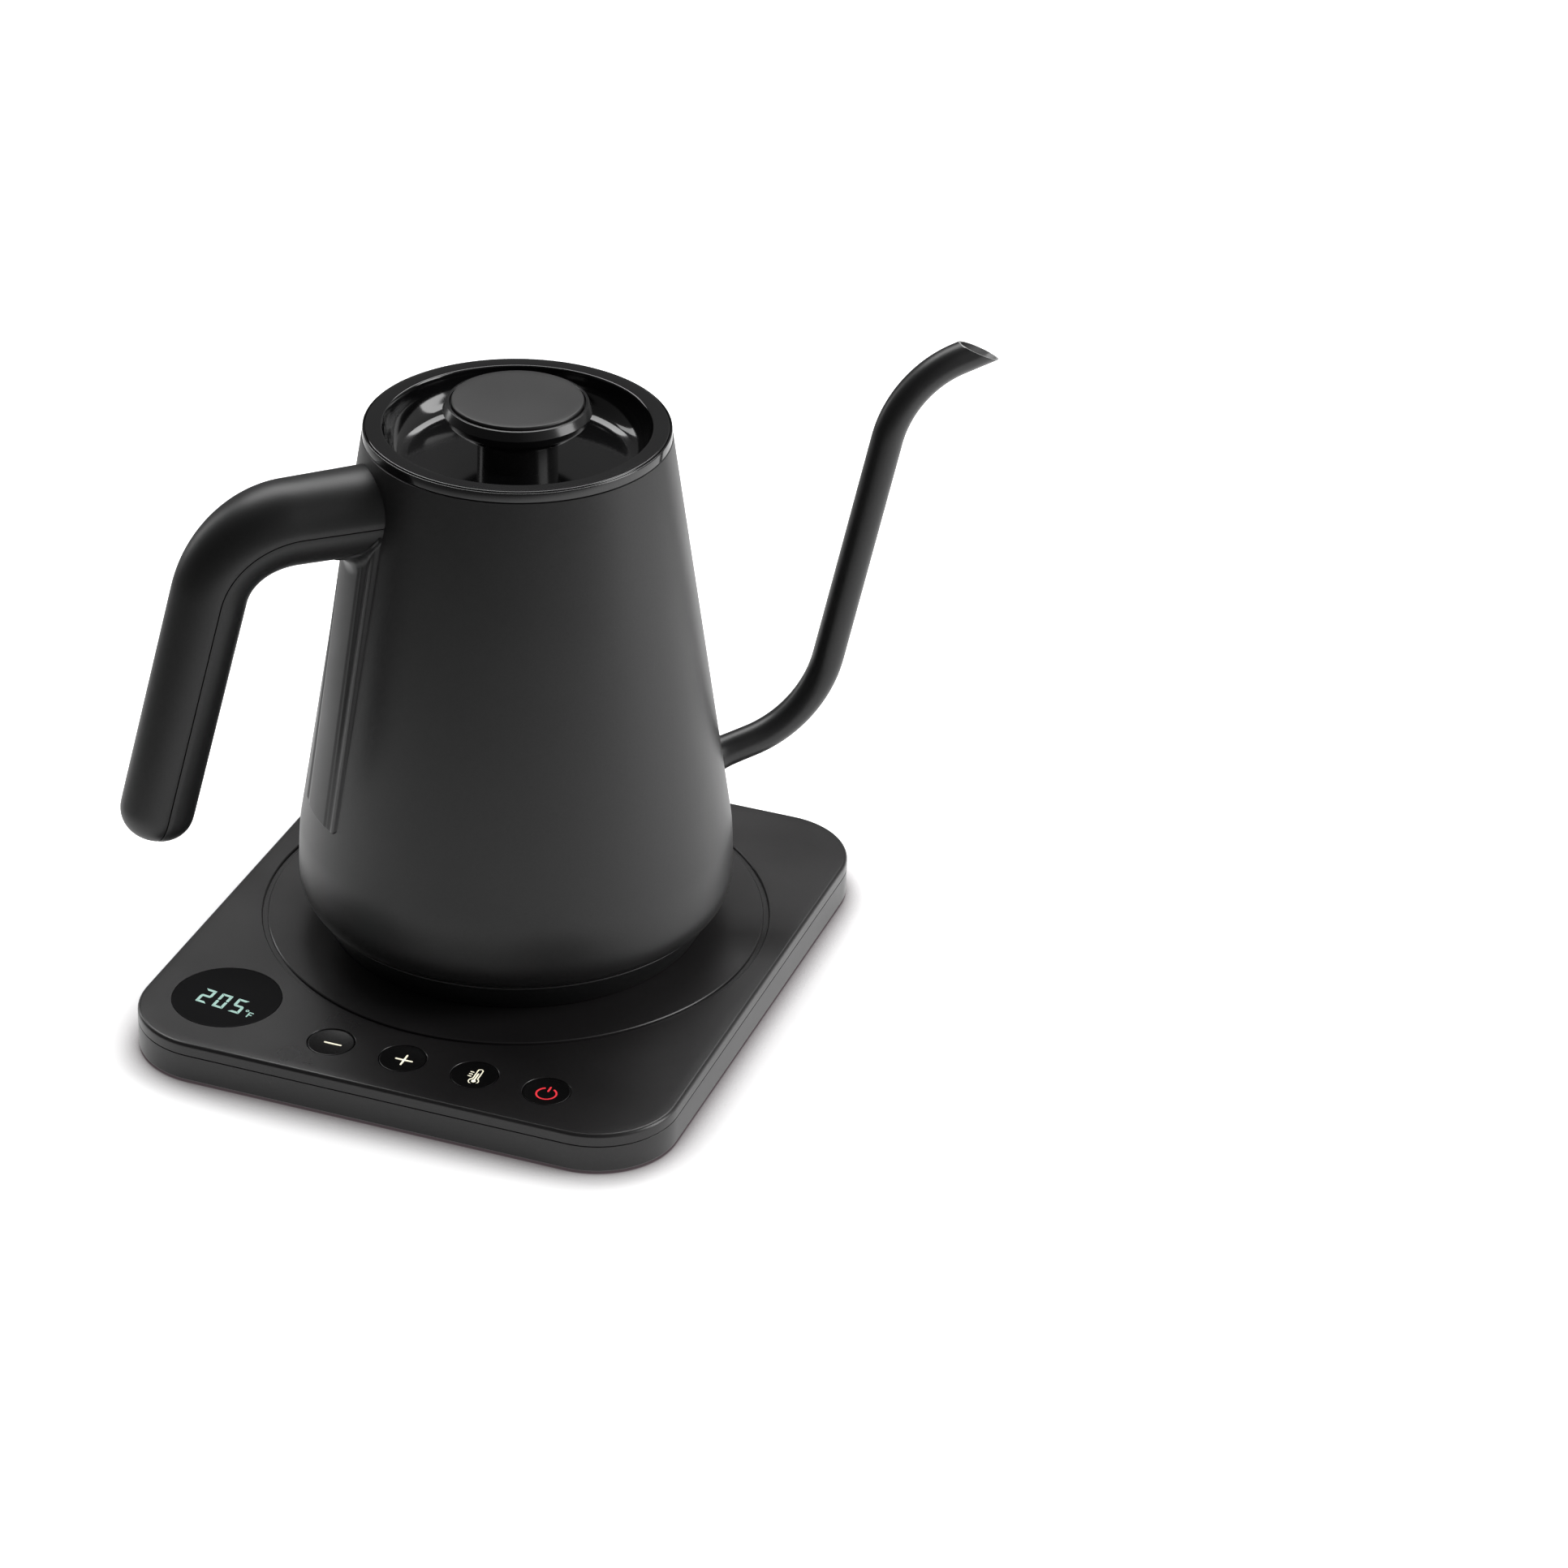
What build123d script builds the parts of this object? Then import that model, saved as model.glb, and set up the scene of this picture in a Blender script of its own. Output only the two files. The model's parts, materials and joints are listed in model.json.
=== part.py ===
from build123d import *
import math
import os

# Gooseneck electric kettle on its square control base.
# Row frame: origin on the table under the centre of the base, +X right along the
# control edge, +Y away to the back, +Z up.  All sizes in millimetres.

# ---------------------------------------------------------------- base
base_width = 170.0
base_depth = 194.2
base_corner = 25.0
foot_height = 0.8
foot_radius = 7.0
foot_recess = 0.6
cover_seam_z = 9.4           # where the upper and lower covers meet
plate_z = 13.4               # top face of the base, where the kettle stands
cover_wall = 2.2
floor_thickness = 1.8
cover_edge_round = 1.2
tray_edge_round = 0.6
groove_radius = 76.9         # round groove in the plate, centred on the kettle
groove_width = 1.7
groove_depth = 0.9
screw_spots = [(-38, -90.5), (60, -90.5), (-77.5, -30), (77.5, -30), (-72, 82), (72, 82)]
foot_spots = [(0, 0), (-58, -70), (58, -70), (-58, 70), (58, 70)]
board_z = 4.3                # underside of both circuit boards
screw_post_z = 6.5           # where the posts of the two covers meet
board_thickness = 1.2

# ---------------------------------------------------------------- controls
display_spot = (-59.8, -69.2)
display_radius = 16.4
display_glass = 1.4
digit_z = 10.7
module_top_z = 11.1
module_size = (25.0, 16.0)
window_size = (23.0, 14.0)
digit_start = (-9.0, -3.2)   # lower left corner of the first digit, from the window centre
digit_size = (3.7, 7.4)
digit_pitch = 5.66
digit_stroke = 0.9
digit_lean = 0.06
digit_tilt = -0.13           # the row drops a little towards the right
button_row_y = -79.5
button_spots = {"minus": -21.2, "plus": 1.7, "temperature": 24.5, "power": 47.2}
button_radius = 7.0
button_gap = 0.2
cap_low_z = 10.3              # underside of a button cap
switch_top_z = 7.8
stem_low_z = 9.6              # where the cap meets its plunger
plunger_radius = 1.7
plunger_play = 0.05

# ---------------------------------------------------------------- connector
boss_radius = 18.0
boss_height = 8.5            # above the plate
channel_inner = 12.2
channel_outer = 15.9
channel_floor = 1.6          # above the plate
contact_wall = 0.5
swivel_play = 0.06
centre_hole_z = 9.0          # foot of the hole for the earth pin

# ---------------------------------------------------------------- cord and plug sizes
cord_x = -12.0
cord_z = 5.3
cord_radius = 2.9
relief_neck_radius = 3.0
plug_spot = (-52.0, 182.0)
plug_turn = 18.0             # the plug points back and to the left
plug_size = (25.0, 34.0, 18.0)
plug_middle = plug_size[2] / 2
plug_face = plug_size[1] / 2

# ---------------------------------------------------------------- kettle
kettle_turn = 43.0           # direction of the spout, from +X towards +Y
kettle_y = 11.0              # kettle axis on the base
wall = 1.0
shell_low_z = 11.0
shell_low_radius = 63.9
shell_belly = [(65.9, 15.5), (66.1, 22.5), (65.3, 34.5)]
shell_top_z = 161.9
shell_top_radius = 45.45
ring_foot_radius = 57.2
floor_z = 25.0
floor_sheet = 1.2
bottom_screw_radius = 36.0
screw_angles = (0, 120, 240)
heater_ring_radius = 40.0
heater_tube_radius = 3.3
spout_radius = 4.9
spout_wall = 0.6
spout_corners = [(60.5, 40.4), (97.3, 49.2), (123.2, 158.9), (166.0, 170.3)]
spout_bends = (34.0, 31.5)
spout_cut_spot = (148.0, 165.5)
spout_cut_slope = 27.2       # downward slope of the tip cut, degrees

# ---------------------------------------------------------------- handle
handle_root = (-38.0, 145.4)
handle_corner = (-89.65, 145.4)
handle_end = (-114.75, 49.6)
handle_bend = 25.5
handle_end_round = 9.0
handle_skin = 2.4
root_half_width = 14.3
root_half_height = 12.8
grip_radius = 10.85
spine_half_width = 13.6
rib_half_width = 8.0
spine_low_z = 45.5
spine_high_z = 140.0

# ---------------------------------------------------------------- lid
rim_z = 165.2
lid_radius = 44.4
dish_radius = 40.0
dish_floor_radius = 32.4
dish_floor_z = 153.9
lid_sheet = 1.8
sleeve_inner = 41.2
knob_radius = 21.8
knob_top_z = 173.3
inset_radius = 19.4
neck_radius = 11.8

kettle_seat = Pos(0, kettle_y, plate_z) * Rot(0, 0, kettle_turn)
axis_spot = Pos(0, kettle_y, 0)


# ---------------------------------------------------------------- helpers
def upright(radius, low, high, x=0, y=0):
    """A cylinder between two heights."""
    return Pos(x, y, (low + high) / 2) * Cylinder(radius, high - low)


def washer(inner, outer, low, high):
    """A ring between two heights."""
    return upright(outer, low, high) - upright(inner, low - 1, high + 1)


def brick(width, depth, low, high, x=0, y=0):
    """A box between two heights."""
    return Pos(x, y, (low + high) / 2) * Box(width, depth, high - low)


def footprint(inset, low, high):
    """The rounded square of the base, brought in by an inset."""
    face = RectangleRounded(base_width - 2 * inset, base_depth - 2 * inset, base_corner - inset)
    return Pos(0, 0, low) * extrude(face, high - low)


def turned(points):
    """A solid turned about Z from corner points given as (radius, height)."""
    outline = Polyline([(r, 0, z) for r, z in points], close=True)
    return revolve(make_face(outline), Axis.Z)


def side_face(edges):
    """A face in the XZ plane from edges drawn there."""
    return make_face(edges)


def group(pieces):
    """Several equal pieces kept as one node."""
    return Compound(children=list(pieces))


def tube_along(path, radius):
    """A round bar swept along a path."""
    start = Plane(origin=path @ 0, z_dir=path % 0)
    return sweep(start * Circle(radius), path=path)


def shell_line(offset):
    """Outer line of the kettle body from bottom to top, moved outward by an offset."""
    belly = [(r + offset, 0, z) for r, z in shell_belly]
    taper = Vector(shell_top_radius - shell_belly[-1][0], 0, shell_top_z - shell_belly[-1][1])
    curve = Spline([(shell_low_radius + offset, 0, shell_low_z)] + belly,
                   tangents=[(1.0, 0, 0.9), taper.normalized()])
    slope = Line(belly[-1], (shell_top_radius + offset, 0, shell_top_z))
    return curve, slope


def body_solid(offset):
    """Everything inside the kettle's outer surface, moved outward by an offset."""
    curve, slope = shell_line(offset)
    lid = Line(slope @ 1, (0, 0, shell_top_z))
    axis = Line((0, 0, shell_top_z), (0, 0, shell_low_z))
    floor = Line((0, 0, shell_low_z), curve @ 0)
    return revolve(side_face(curve + slope + lid + axis + floor), Axis.Z)


# ---------------------------------------------------------------- base pieces
def base_bottom_cover():
    tray = footprint(0, foot_height, cover_seam_z)
    tray = fillet(tray.edges().group_by(Axis.Z)[0], tray_edge_round)
    floor_top = foot_height + floor_thickness
    tray -= footprint(cover_wall, floor_top, cover_seam_z + 1)
    for x, y in screw_spots:
        tray += upright(3.9, floor_top - 0.5, screw_post_z, x, y)
    for x, y in board_posts():
        tray += upright(2.0, floor_top - 0.5, board_z, x, y)
    for x, y in screw_spots:
        tray -= upright(3.1, 0, 5.0, x, y)
        tray -= upright(1.6, 0, cover_seam_z, x, y)
    for x, y in foot_spots:
        tray -= upright(foot_radius, 0, foot_height + foot_recess, x, y)
    tray -= cord_hole(relief_neck_radius)
    return tray


def board_posts():
    """Where the lower cover props up the two boards."""
    control = [(-72, -62), (52, -62), (-72, -74), (52, -74)]
    power = [(-48, 52), (4, 52), (-48, 80), (4, 80)]
    return control + power


def base_top_cover():
    cover = footprint(0, cover_seam_z, plate_z)
    cover = fillet(cover.edges().group_by(Axis.Z)[-1], cover_edge_round)
    ceiling = plate_z - cover_wall
    cover -= footprint(cover_wall, cover_seam_z - 1, ceiling)
    shadow_line = footprint(0, cover_seam_z - 1, cover_seam_z + 0.3)
    cover -= shadow_line - footprint(0.35, cover_seam_z - 1, cover_seam_z + 0.3)
    lip = footprint(cover_wall + 0.1, cover_seam_z - 1.5, ceiling + 0.2)
    lip -= footprint(cover_wall + 1.4, cover_seam_z - 2, ceiling + 1)
    lip -= brick(16, 12, 0, cover_seam_z, cord_x, base_depth / 2)
    cover += lip
    for x, y in screw_spots:
        cover += upright(3.4, screw_post_z, ceiling + 0.2, x, y)
    for x, y in screw_spots:
        cover -= upright(1.28, 6, ceiling - 0.2, x, y)
    groove = washer(groove_radius - groove_width / 2, groove_radius + groove_width / 2,
                    plate_z - groove_depth, plate_z + 1)
    cover -= axis_spot * groove
    cover -= axis_spot * upright(boss_radius + 0.3, 0, plate_z + 1)
    cover -= upright(display_radius + 0.1, plate_z - display_glass, plate_z + 1, *display_spot)
    cover -= upright(display_radius - 1.6, 0, plate_z + 1, *display_spot)
    for x in button_spots.values():
        cover -= upright(button_radius + button_gap, 0, plate_z + 1, x, button_row_y)
    return cover


def display_lens():
    return upright(display_radius, plate_z - display_glass, plate_z, *display_spot)


def display_module():
    body = brick(*module_size, board_z + board_thickness, module_top_z, *display_spot)
    window = brick(*window_size, digit_z, module_top_z + 1, *display_spot)
    return body - window


def digit_bars(lit):
    """Centre and size of the lit bars of one seven-segment digit, from its lower left corner."""
    across, tall = digit_size
    half = digit_stroke / 2
    long_bar = across - 2 * digit_stroke
    tall_bar = tall / 2 - 1.4 * digit_stroke
    places = {
        "a": (across / 2, tall - half, long_bar, digit_stroke),
        "g": (across / 2, tall / 2, long_bar, digit_stroke),
        "d": (across / 2, half, long_bar, digit_stroke),
        "f": (half, tall * 0.75, digit_stroke, tall_bar),
        "b": (across - half, tall * 0.75, digit_stroke, tall_bar),
        "e": (half, tall * 0.25, digit_stroke, tall_bar),
        "c": (across - half, tall * 0.25, digit_stroke, tall_bar),
    }
    return [places[name] for name in lit]


def display_digits():
    """Three digits, then a small degree sign and F, on the floor of the display window."""
    bars = []
    for i, lit in enumerate(["abged", "abcdef", "afgcd"]):
        bars += [(x + i * digit_pitch, y, width, height) for x, y, width, height in digit_bars(lit)]
    bars += [(18.1, 1.2, 0.4, 2.4), (18.85, 2.2, 1.0, 0.4), (18.75, 1.1, 0.8, 0.4)]
    plates = []
    for x, y, width, height in bars:
        spot_x = display_spot[0] + digit_start[0] + x + digit_lean * y
        spot_y = display_spot[1] + digit_start[1] + y + digit_tilt * x
        plates.append(brick(width, height, digit_z, digit_z + 0.3, spot_x, spot_y))
    degree = washer(0.25, 0.55, digit_z, digit_z + 0.3)
    plates.append(Pos(display_spot[0] + 7.9, display_spot[1] - 2.6, 0) * degree)
    return group(plates)


def button(name):
    """A round cap with a dished top, a flange that keeps it in, and a short stem."""
    spot = Pos(button_spots[name], button_row_y, 0)
    cap = upright(button_radius, cap_low_z, plate_z - 0.1)
    cap -= Pos(0, 0, plate_z + 41.5) * Sphere(42.0)
    cap += upright(button_radius + 1.0, cap_low_z, cap_low_z + 0.85)
    cap += upright(2.2, stem_low_z, cap_low_z + 0.1)
    return spot * cap


def plunger(name):
    return upright(plunger_radius, 6.7, stem_low_z, button_spots[name], button_row_y)


def tact_switches():
    cases = []
    for x in button_spots.values():
        case = brick(6.2, 6.2, board_z + board_thickness, switch_top_z, x, button_row_y)
        cases.append(case - upright(plunger_radius + plunger_play, 6.0, 9, x, button_row_y))
    return group(cases)


def control_board():
    outline = RectangleRounded(137, 32, 13.5)
    return Pos(-10.5, -70, board_z) * extrude(outline, board_thickness)


def power_board():
    return brick(62, 38, board_z, board_z + board_thickness, -22, 66)


def power_parts():
    top = board_z + board_thickness
    terminals = [brick(7, 9, top, top + 4.2, x, 80) for x in (-40, -31, -22)]
    capacitor = brick(14, 8, top, top + 4.5, -2, 58)
    return group(terminals + [capacitor])


def triac():
    top = board_z + board_thickness
    tab = brick(16, 16, top, top + 1.2, -40, 58)
    return tab + brick(10, 9, top + 1.2, top + 4.4, -40, 56)


def base_connector():
    """Round boss with a ring channel and a centre hole, hung from the upper cover."""
    ceiling = plate_z - cover_wall
    under = ceiling - 1.8
    floor = plate_z + channel_floor
    top = plate_z + boss_height
    body = upright(26, under, ceiling)
    body += upright(boss_radius, under, top)
    body = fillet(body.edges().group_by(Axis.Z)[-1], 0.8)
    body += upright(20, 4.0, under + 0.1)
    body -= washer(channel_inner - contact_wall, channel_outer + contact_wall, floor - 1, top - 1)
    body -= washer(channel_inner, channel_outer, floor - 1, top + 10)
    body += washer(channel_inner - contact_wall, channel_outer + contact_wall, floor - 2, floor)
    body -= upright(3.6, centre_hole_z, top + 10)
    return axis_spot * body


def base_contacts():
    """Two ring contacts that line the channel and one tube contact in the centre."""
    low = plate_z + channel_floor
    high = plate_z + boss_height - 1
    play = 0.02
    inner = washer(channel_inner - contact_wall + play, channel_inner, low, high)
    outer = washer(channel_outer, channel_outer + contact_wall - play, low, high)
    centre = washer(3.0, 3.6 - play, centre_hole_z, high - 0.5)
    return group([axis_spot * inner, axis_spot * outer, axis_spot * centre])


def connector_shutter():
    """Sliding ring at the foot of the channel; it turns with the kettle."""
    low = plate_z + channel_floor + 0.05
    return axis_spot * washer(channel_inner + swivel_play, channel_outer - swivel_play,
                              low, low + 0.8)


def feet():
    top = foot_height + foot_recess
    pads = []
    for x, y in foot_spots:
        pad = upright(foot_radius - 0.05, 0, top, x, y)
        pads.append(chamfer(pad.edges().group_by(Axis.Z)[0], 0.4))
    return group(pads)


def base_screws():
    screws = []
    for x, y in screw_spots:
        screw = upright(2.8, 3.4, 5.0, x, y) + upright(1.25, 4.9, 9.9, x, y)
        screw -= brick(3.4, 0.6, 3, 4.0, x, y) + brick(0.6, 3.4, 3, 4.0, x, y)
        screws.append(screw)
    return group(screws)


# ---------------------------------------------------------------- cord and plug
def cord_hole(radius):
    spot = (cord_x, base_depth / 2, cord_z)
    return Plane(origin=spot, z_dir=(0, 1, 0)) * Cylinder(radius, 12)


def strain_relief():
    """Grommet in the back wall with a tapering boot around the cord."""
    back = base_depth / 2
    along = Plane(origin=(cord_x, back, cord_z), x_dir=(1, 0, 0), z_dir=(0, 1, 0))
    boot = along * Pos(0, 0, 7.0) * Cone(3.8, 3.3, 14.0)
    neck = along * Pos(0, 0, -1.0) * Cylinder(relief_neck_radius - 0.03, 2.6)
    flange = along * Pos(0, 0, -cover_wall - 0.6) * Box(8, 3.8, 1.0)
    bore = along * Cylinder(2.0 + 0.02, 60)
    seat = along * Pos(0, 0, 31.0) * Cylinder(cord_radius + 0.02, 60)
    return boot + neck + flange - bore - seat


def cord_path():
    """Straight through the boot, then down to the table and across to the plug."""
    start = Vector(cord_x, base_depth / 2 + 1.05, cord_z)
    free = Vector(cord_x, base_depth / 2 + 15, cord_z)
    turn = math.radians(plug_turn)
    ahead = Vector(-math.sin(turn), math.cos(turn), 0)
    end = Vector(*plug_spot, plug_middle) - ahead * (plug_face + 0.05)
    rest = (cord_x - 10, base_depth / 2 + 40, 3.4)
    return Wire([Line(start, free).edge(),
                 Spline([free, rest, end], tangents=[(0, 1, 0), ahead]).edge()])


def power_cord():
    return tube_along(cord_path(), cord_radius)


def plug_body():
    block = Box(*plug_size)
    block = fillet(block.edges().filter_by(Axis.Y), 5.0)
    block = fillet(block.edges().group_by(Axis.Y)[0], 3.0)
    return Pos(*plug_spot, plug_middle) * Rot(0, 0, plug_turn) * block


def plug_blades():
    """Two flat blades and one round earth pin standing out of the plug's face."""
    place = Pos(*plug_spot, plug_middle) * Rot(0, 0, plug_turn)
    blades = [Pos(x, plug_face + 9, 1.5) * Box(1.5, 18, 6.3) for x in (-6.35, 6.35)]
    earth = Plane(origin=(0, plug_face + 10.5, -5.2), z_dir=(0, 1, 0)) * Cylinder(1.9, 21)
    return group([place * piece for piece in blades + [earth]])


def base_wires():
    """Leads from the cord to the terminals and from the power board onward."""
    back = base_depth / 2
    edge = 46.9
    mid = board_z + board_thickness / 2
    leads = []
    for i, x in enumerate((-40, -31, -22)):
        start = (cord_x - 1.1 + 1.1 * i, back - cover_wall - 1.2, cord_z)
        run = Spline([start, (x, 84.7, 7.2)], tangents=[(0, -1, 0), (0, -1, 0)])
        leads.append(tube_along(run, 0.5))
    feed = Spline([(6, edge, mid + 0.3), (6, 31.6, 6.4)], tangents=[(0, -1, 0), (0, -1, 0)])
    signal = Spline([(-27, edge, mid + 0.3), (-34, 0, 6.0), (-30, -53.9, mid + 0.3)],
                    tangents=[(0, -1, 0), (0, -1, 0)])
    return group(leads + [tube_along(feed, 0.8), tube_along(signal, 0.8)])


# ---------------------------------------------------------------- kettle pieces
def body_shell():
    """Steel body: one wall, open at both ends, with a hole for the spout."""
    curve, slope = shell_line(0)
    inner_curve, inner_slope = shell_line(-wall)
    bottom = Line(inner_curve @ 0, curve @ 0)
    top = Line(slope @ 1, inner_slope @ 1)
    skin = revolve(side_face(curve + slope + top + inner_slope + inner_curve + bottom), Axis.Z)
    skin -= tube_along(spout_path(), spout_radius + 0.02)
    return kettle_seat * skin


def vessel_floor():
    """Pressed steel floor with a down-turned rim, holed for the probe."""
    top = floor_z
    under = top - floor_sheet
    dish = upright(64.0, under, top)
    hoop = washer(62.8, 64.0, under - 6, top)
    pan = dish + hoop
    pan = fillet(pan.edges().group_by(Axis.Z)[-1], 1.0)
    pan += washer(63.8, 65.05, under - 6, under - 5.2)
    pan -= upright(2.52, 0, 60, -30, 0)
    return kettle_seat * pan


def heater_plate():
    top = floor_z - floor_sheet
    plate = upright(52, top - 3, top) - upright(2.52, 0, 60, -30, 0)
    return kettle_seat * plate


def heating_element():
    """Sheathed heater bent into an open ring, with both ends turned down."""
    z = floor_z - floor_sheet - 3 - heater_tube_radius
    open_angle = 28.0
    ring = CenterArc((0, 0, z), heater_ring_radius, open_angle, 360 - 2 * open_angle)
    tube = tube_along(ring, heater_tube_radius)
    for angle in (open_angle, -open_angle):
        x = heater_ring_radius * math.cos(math.radians(angle))
        y = heater_ring_radius * math.sin(math.radians(angle))
        tube += Pos(x, y, z) * Sphere(heater_tube_radius)
        tube += upright(heater_tube_radius, z - 4, z, x, y)
        tube += upright(1.4, z - 8, z, x, y)
    return kettle_seat * tube


def temperature_probe():
    """Steel pocket through the floor that holds the water-temperature sensor."""
    pocket = upright(2.5, 15.0, 33.0, -30, 0)
    pocket = fillet(pocket.edges().group_by(Axis.Z)[-1], 1.6)
    return kettle_seat * (pocket + upright(4.5, 17.8, 20.7, -30, 0))


def thermal_control():
    block = upright(22, 11.6, 18.4)
    block -= brick(12, 50, 14.5, 20)
    return kettle_seat * block


def thermal_cutouts():
    discs = [upright(6.0, 18.4, 20.7, x, 0) for x in (-14, 14)]
    return group([kettle_seat * disc for disc in discs])


def kettle_connector():
    """Socket that drops over the base boss: a skirt and a ring-shaped prong."""
    top = boss_height + 1.0
    socket = upright(24, top, top + 2)
    socket += washer(boss_radius + 0.08, 21.0, 1.4, top + 0.2)
    socket += washer(channel_inner + 1.0, channel_outer - 1.0, 4.0, top + 0.2)
    return kettle_seat * socket


def kettle_contacts():
    """Bands on the ring prong and the centre pin."""
    low = 2.6
    inner = washer(channel_inner + 0.5, channel_inner + 1.0, low, 9.4)
    outer = washer(channel_outer - 1.0, channel_outer - 0.5, low, 9.4)
    pin = upright(2.4, 1.0, 9.5)
    return group([kettle_seat * piece for piece in (inner, outer, pin)])


def bottom_cover():
    """Tapered foot ring and underside of the kettle, with a hole for the socket."""
    seam = shell_low_z - 0.25
    cup = turned([(0, 0), (ring_foot_radius, 0), (62.9, seam - 0.6), (62.6, seam), (0, seam)])
    cup = fillet(cup.edges().group_by(Axis.Z)[0], 0.8)
    cup -= turned([(0, 3.2), (55.6, 3.2), (60.4, seam + 1), (0, seam + 1)])
    cup -= upright(50.0, -1, 1.2)
    cup += washer(59.8, 62.4, seam - 3.5, seam + 4.0)
    cup -= turned([(62.5, 0), (70, 0), (70, seam - 6), (62.5, seam - 6)])
    for angle in screw_angles:
        turn = Rot(0, 0, angle)
        cup += turn * upright(3.6, 3.0, 9.0, bottom_screw_radius, 0)
        cup -= turn * upright(1.5, 0, 20, bottom_screw_radius, 0)
        cup -= turn * upright(3.0, 0, 2.8, bottom_screw_radius, 0)
    cup -= upright(21.4, -1, 20)
    return kettle_seat * cup


def bottom_screws():
    screws = []
    at = bottom_screw_radius
    for angle in screw_angles:
        screw = upright(2.8, 1.3, 2.8, at, 0) + upright(1.45, 2.7, 14.2, at, 0)
        screw -= brick(3.4, 0.6, 1, 1.9, at, 0) + brick(0.6, 3.4, 1, 1.9, at, 0)
        screws.append(kettle_seat * Rot(0, 0, angle) * screw)
    return group(screws)


def heater_bracket():
    """Ring round the control with three legs that take the bottom screws."""
    plate = washer(22.1, 27.0, 13.0, 14.2)
    for angle in screw_angles:
        turn = Rot(0, 0, angle)
        leg = brick(14, 9, 13.0, 14.2, 33, 0) + upright(2.5, 14.0, 20.8, 30, 0)
        plate += turn * leg
        plate -= turn * upright(1.5, 12, 16, bottom_screw_radius, 0)
    return kettle_seat * plate


def kettle_wires():
    """Leads from the heater ends and the probe to the control."""
    leads = []
    for side in (1, -1):
        run = Spline([(34.0, side * 18.1, 11.5), (20.7, side * 9.3, 12.25)],
                     tangents=[(-1, -side * 0.5, 0), (-1, -side * 0.4, 0)])
        leads.append(tube_along(run, 0.6))
    probe = Spline([(-30, 0, 14.9), (-22.8, 2.0, 12.25)], tangents=[(0, 0, -1), (1, 0, 0)])
    leads.append(tube_along(probe, 0.6))
    return group([kettle_seat * lead for lead in leads])


def spout_path():
    """Centre line of the spout: out of the body, up, and over to the tip."""
    corners = [(x, 0, z) for x, z in spout_corners]
    lead = Vector(*corners[1]) - Vector(*corners[0])
    rise = Vector(*corners[2]) - Vector(*corners[1])
    over = Vector(*corners[3]) - Vector(*corners[2])

    def bend(corner, before, after, radius):
        before = before.normalized()
        after = after.normalized()
        turn = math.acos(before.dot(after))
        reach = radius * math.tan(turn / 2)
        start = Vector(*corner) - before * reach
        end = Vector(*corner) + after * reach
        return start, end, before

    low_start, low_end, low_dir = bend(corners[1], lead, rise, spout_bends[0])
    top_start, top_end, top_dir = bend(corners[2], rise, over, spout_bends[1])
    pieces = [
        Line(corners[0], low_start),
        TangentArc(low_start, low_end, tangent=low_dir),
        Line(low_end, top_start),
        TangentArc(top_start, top_end, tangent=top_dir),
        Line(top_end, corners[3]),
    ]
    return Wire([piece.edge() for piece in pieces])


def spout_tube():
    """Bent steel tube, cut on a slope at the tip and flared where it meets the body."""
    path = spout_path()
    root = Plane(origin=path @ 0, z_dir=path % 0)
    tube = tube_along(path, spout_radius)
    flare = root * Pos(0, 0, 6.3) * Cone(7.0, spout_radius, 6.0)
    tube += flare - body_solid(0.02)
    tube -= tube_along(path, spout_radius - spout_wall)
    slope = math.radians(spout_cut_slope)
    normal = (math.sin(slope), 0, math.cos(slope))
    beyond = Plane(origin=(spout_cut_spot[0], 0, spout_cut_spot[1]), z_dir=normal)
    tube -= beyond * Pos(0, 0, 30) * Box(60, 60, 60)
    tube -= root * Pos(0, 0, -10) * Box(30, 30, 20)
    return kettle_seat * tube


# ---------------------------------------------------------------- handle pieces
def handle_pieces_of_path(start, end):
    """Straight root, round bend and straight grip, as three edges."""
    corner = Vector(handle_corner[0], 0, handle_corner[1])
    first = Vector(start[0], 0, start[1])
    last = Vector(end[0], 0, end[1])
    before = (corner - first).normalized()
    after = (last - corner).normalized()
    turn = math.acos(before.dot(after))
    reach = handle_bend * math.tan(turn / 2)
    bend_start = corner - before * reach
    bend_end = corner + after * reach
    return [
        Line(first, bend_start),
        TangentArc(bend_start, bend_end, tangent=before),
        Line(bend_end, last),
    ]


def handle_form(inset, end):
    """The handle's outer form, or its hollow when inset: root, bend and grip joined."""
    root, bend, grip = handle_pieces_of_path(handle_root, end)

    def section(edge, at, half_width, half_height):
        plane = Plane(origin=edge @ at, x_dir=(0, 1, 0), z_dir=edge % at)
        return plane * Ellipse(half_width - inset, half_height - inset)

    bend_width = root_half_width - 0.9
    bend_height = root_half_height - 0.2
    neck_width = grip_radius + 0.3
    neck_height = grip_radius + 0.2
    bend_sections = []
    for at in (0, 0.25, 0.5, 0.75, 1):
        ease = at * at * (3 - 2 * at)
        bend_sections.append(section(bend, at, bend_width + (neck_width - bend_width) * ease,
                                     bend_height + (neck_height - bend_height) * ease))
    root_sections = [section(root, 0, root_half_width, root_half_height), bend_sections[0]]
    grip_sections = [bend_sections[-1], section(grip, 1, grip_radius, grip_radius - 0.1)]
    return loft(root_sections) + loft(bend_sections) + loft(grip_sections)


def handle_outside_region():
    """Everything on the outer side of the handle's parting line."""
    root, bend, grip = handle_pieces_of_path((-20, handle_root[1]), handle_end)
    down = (grip % 1) * 20
    low = grip @ 1 + down
    tail = Line(grip @ 1, low)
    rest = Polyline(low, (-160, 0, low.Z), (-160, 0, 190), (-20, 0, 190), root @ 0)
    face = side_face(root + bend + grip + tail + rest)
    return extrude(face, 40, dir=(0, 1, 0), both=True)


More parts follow.
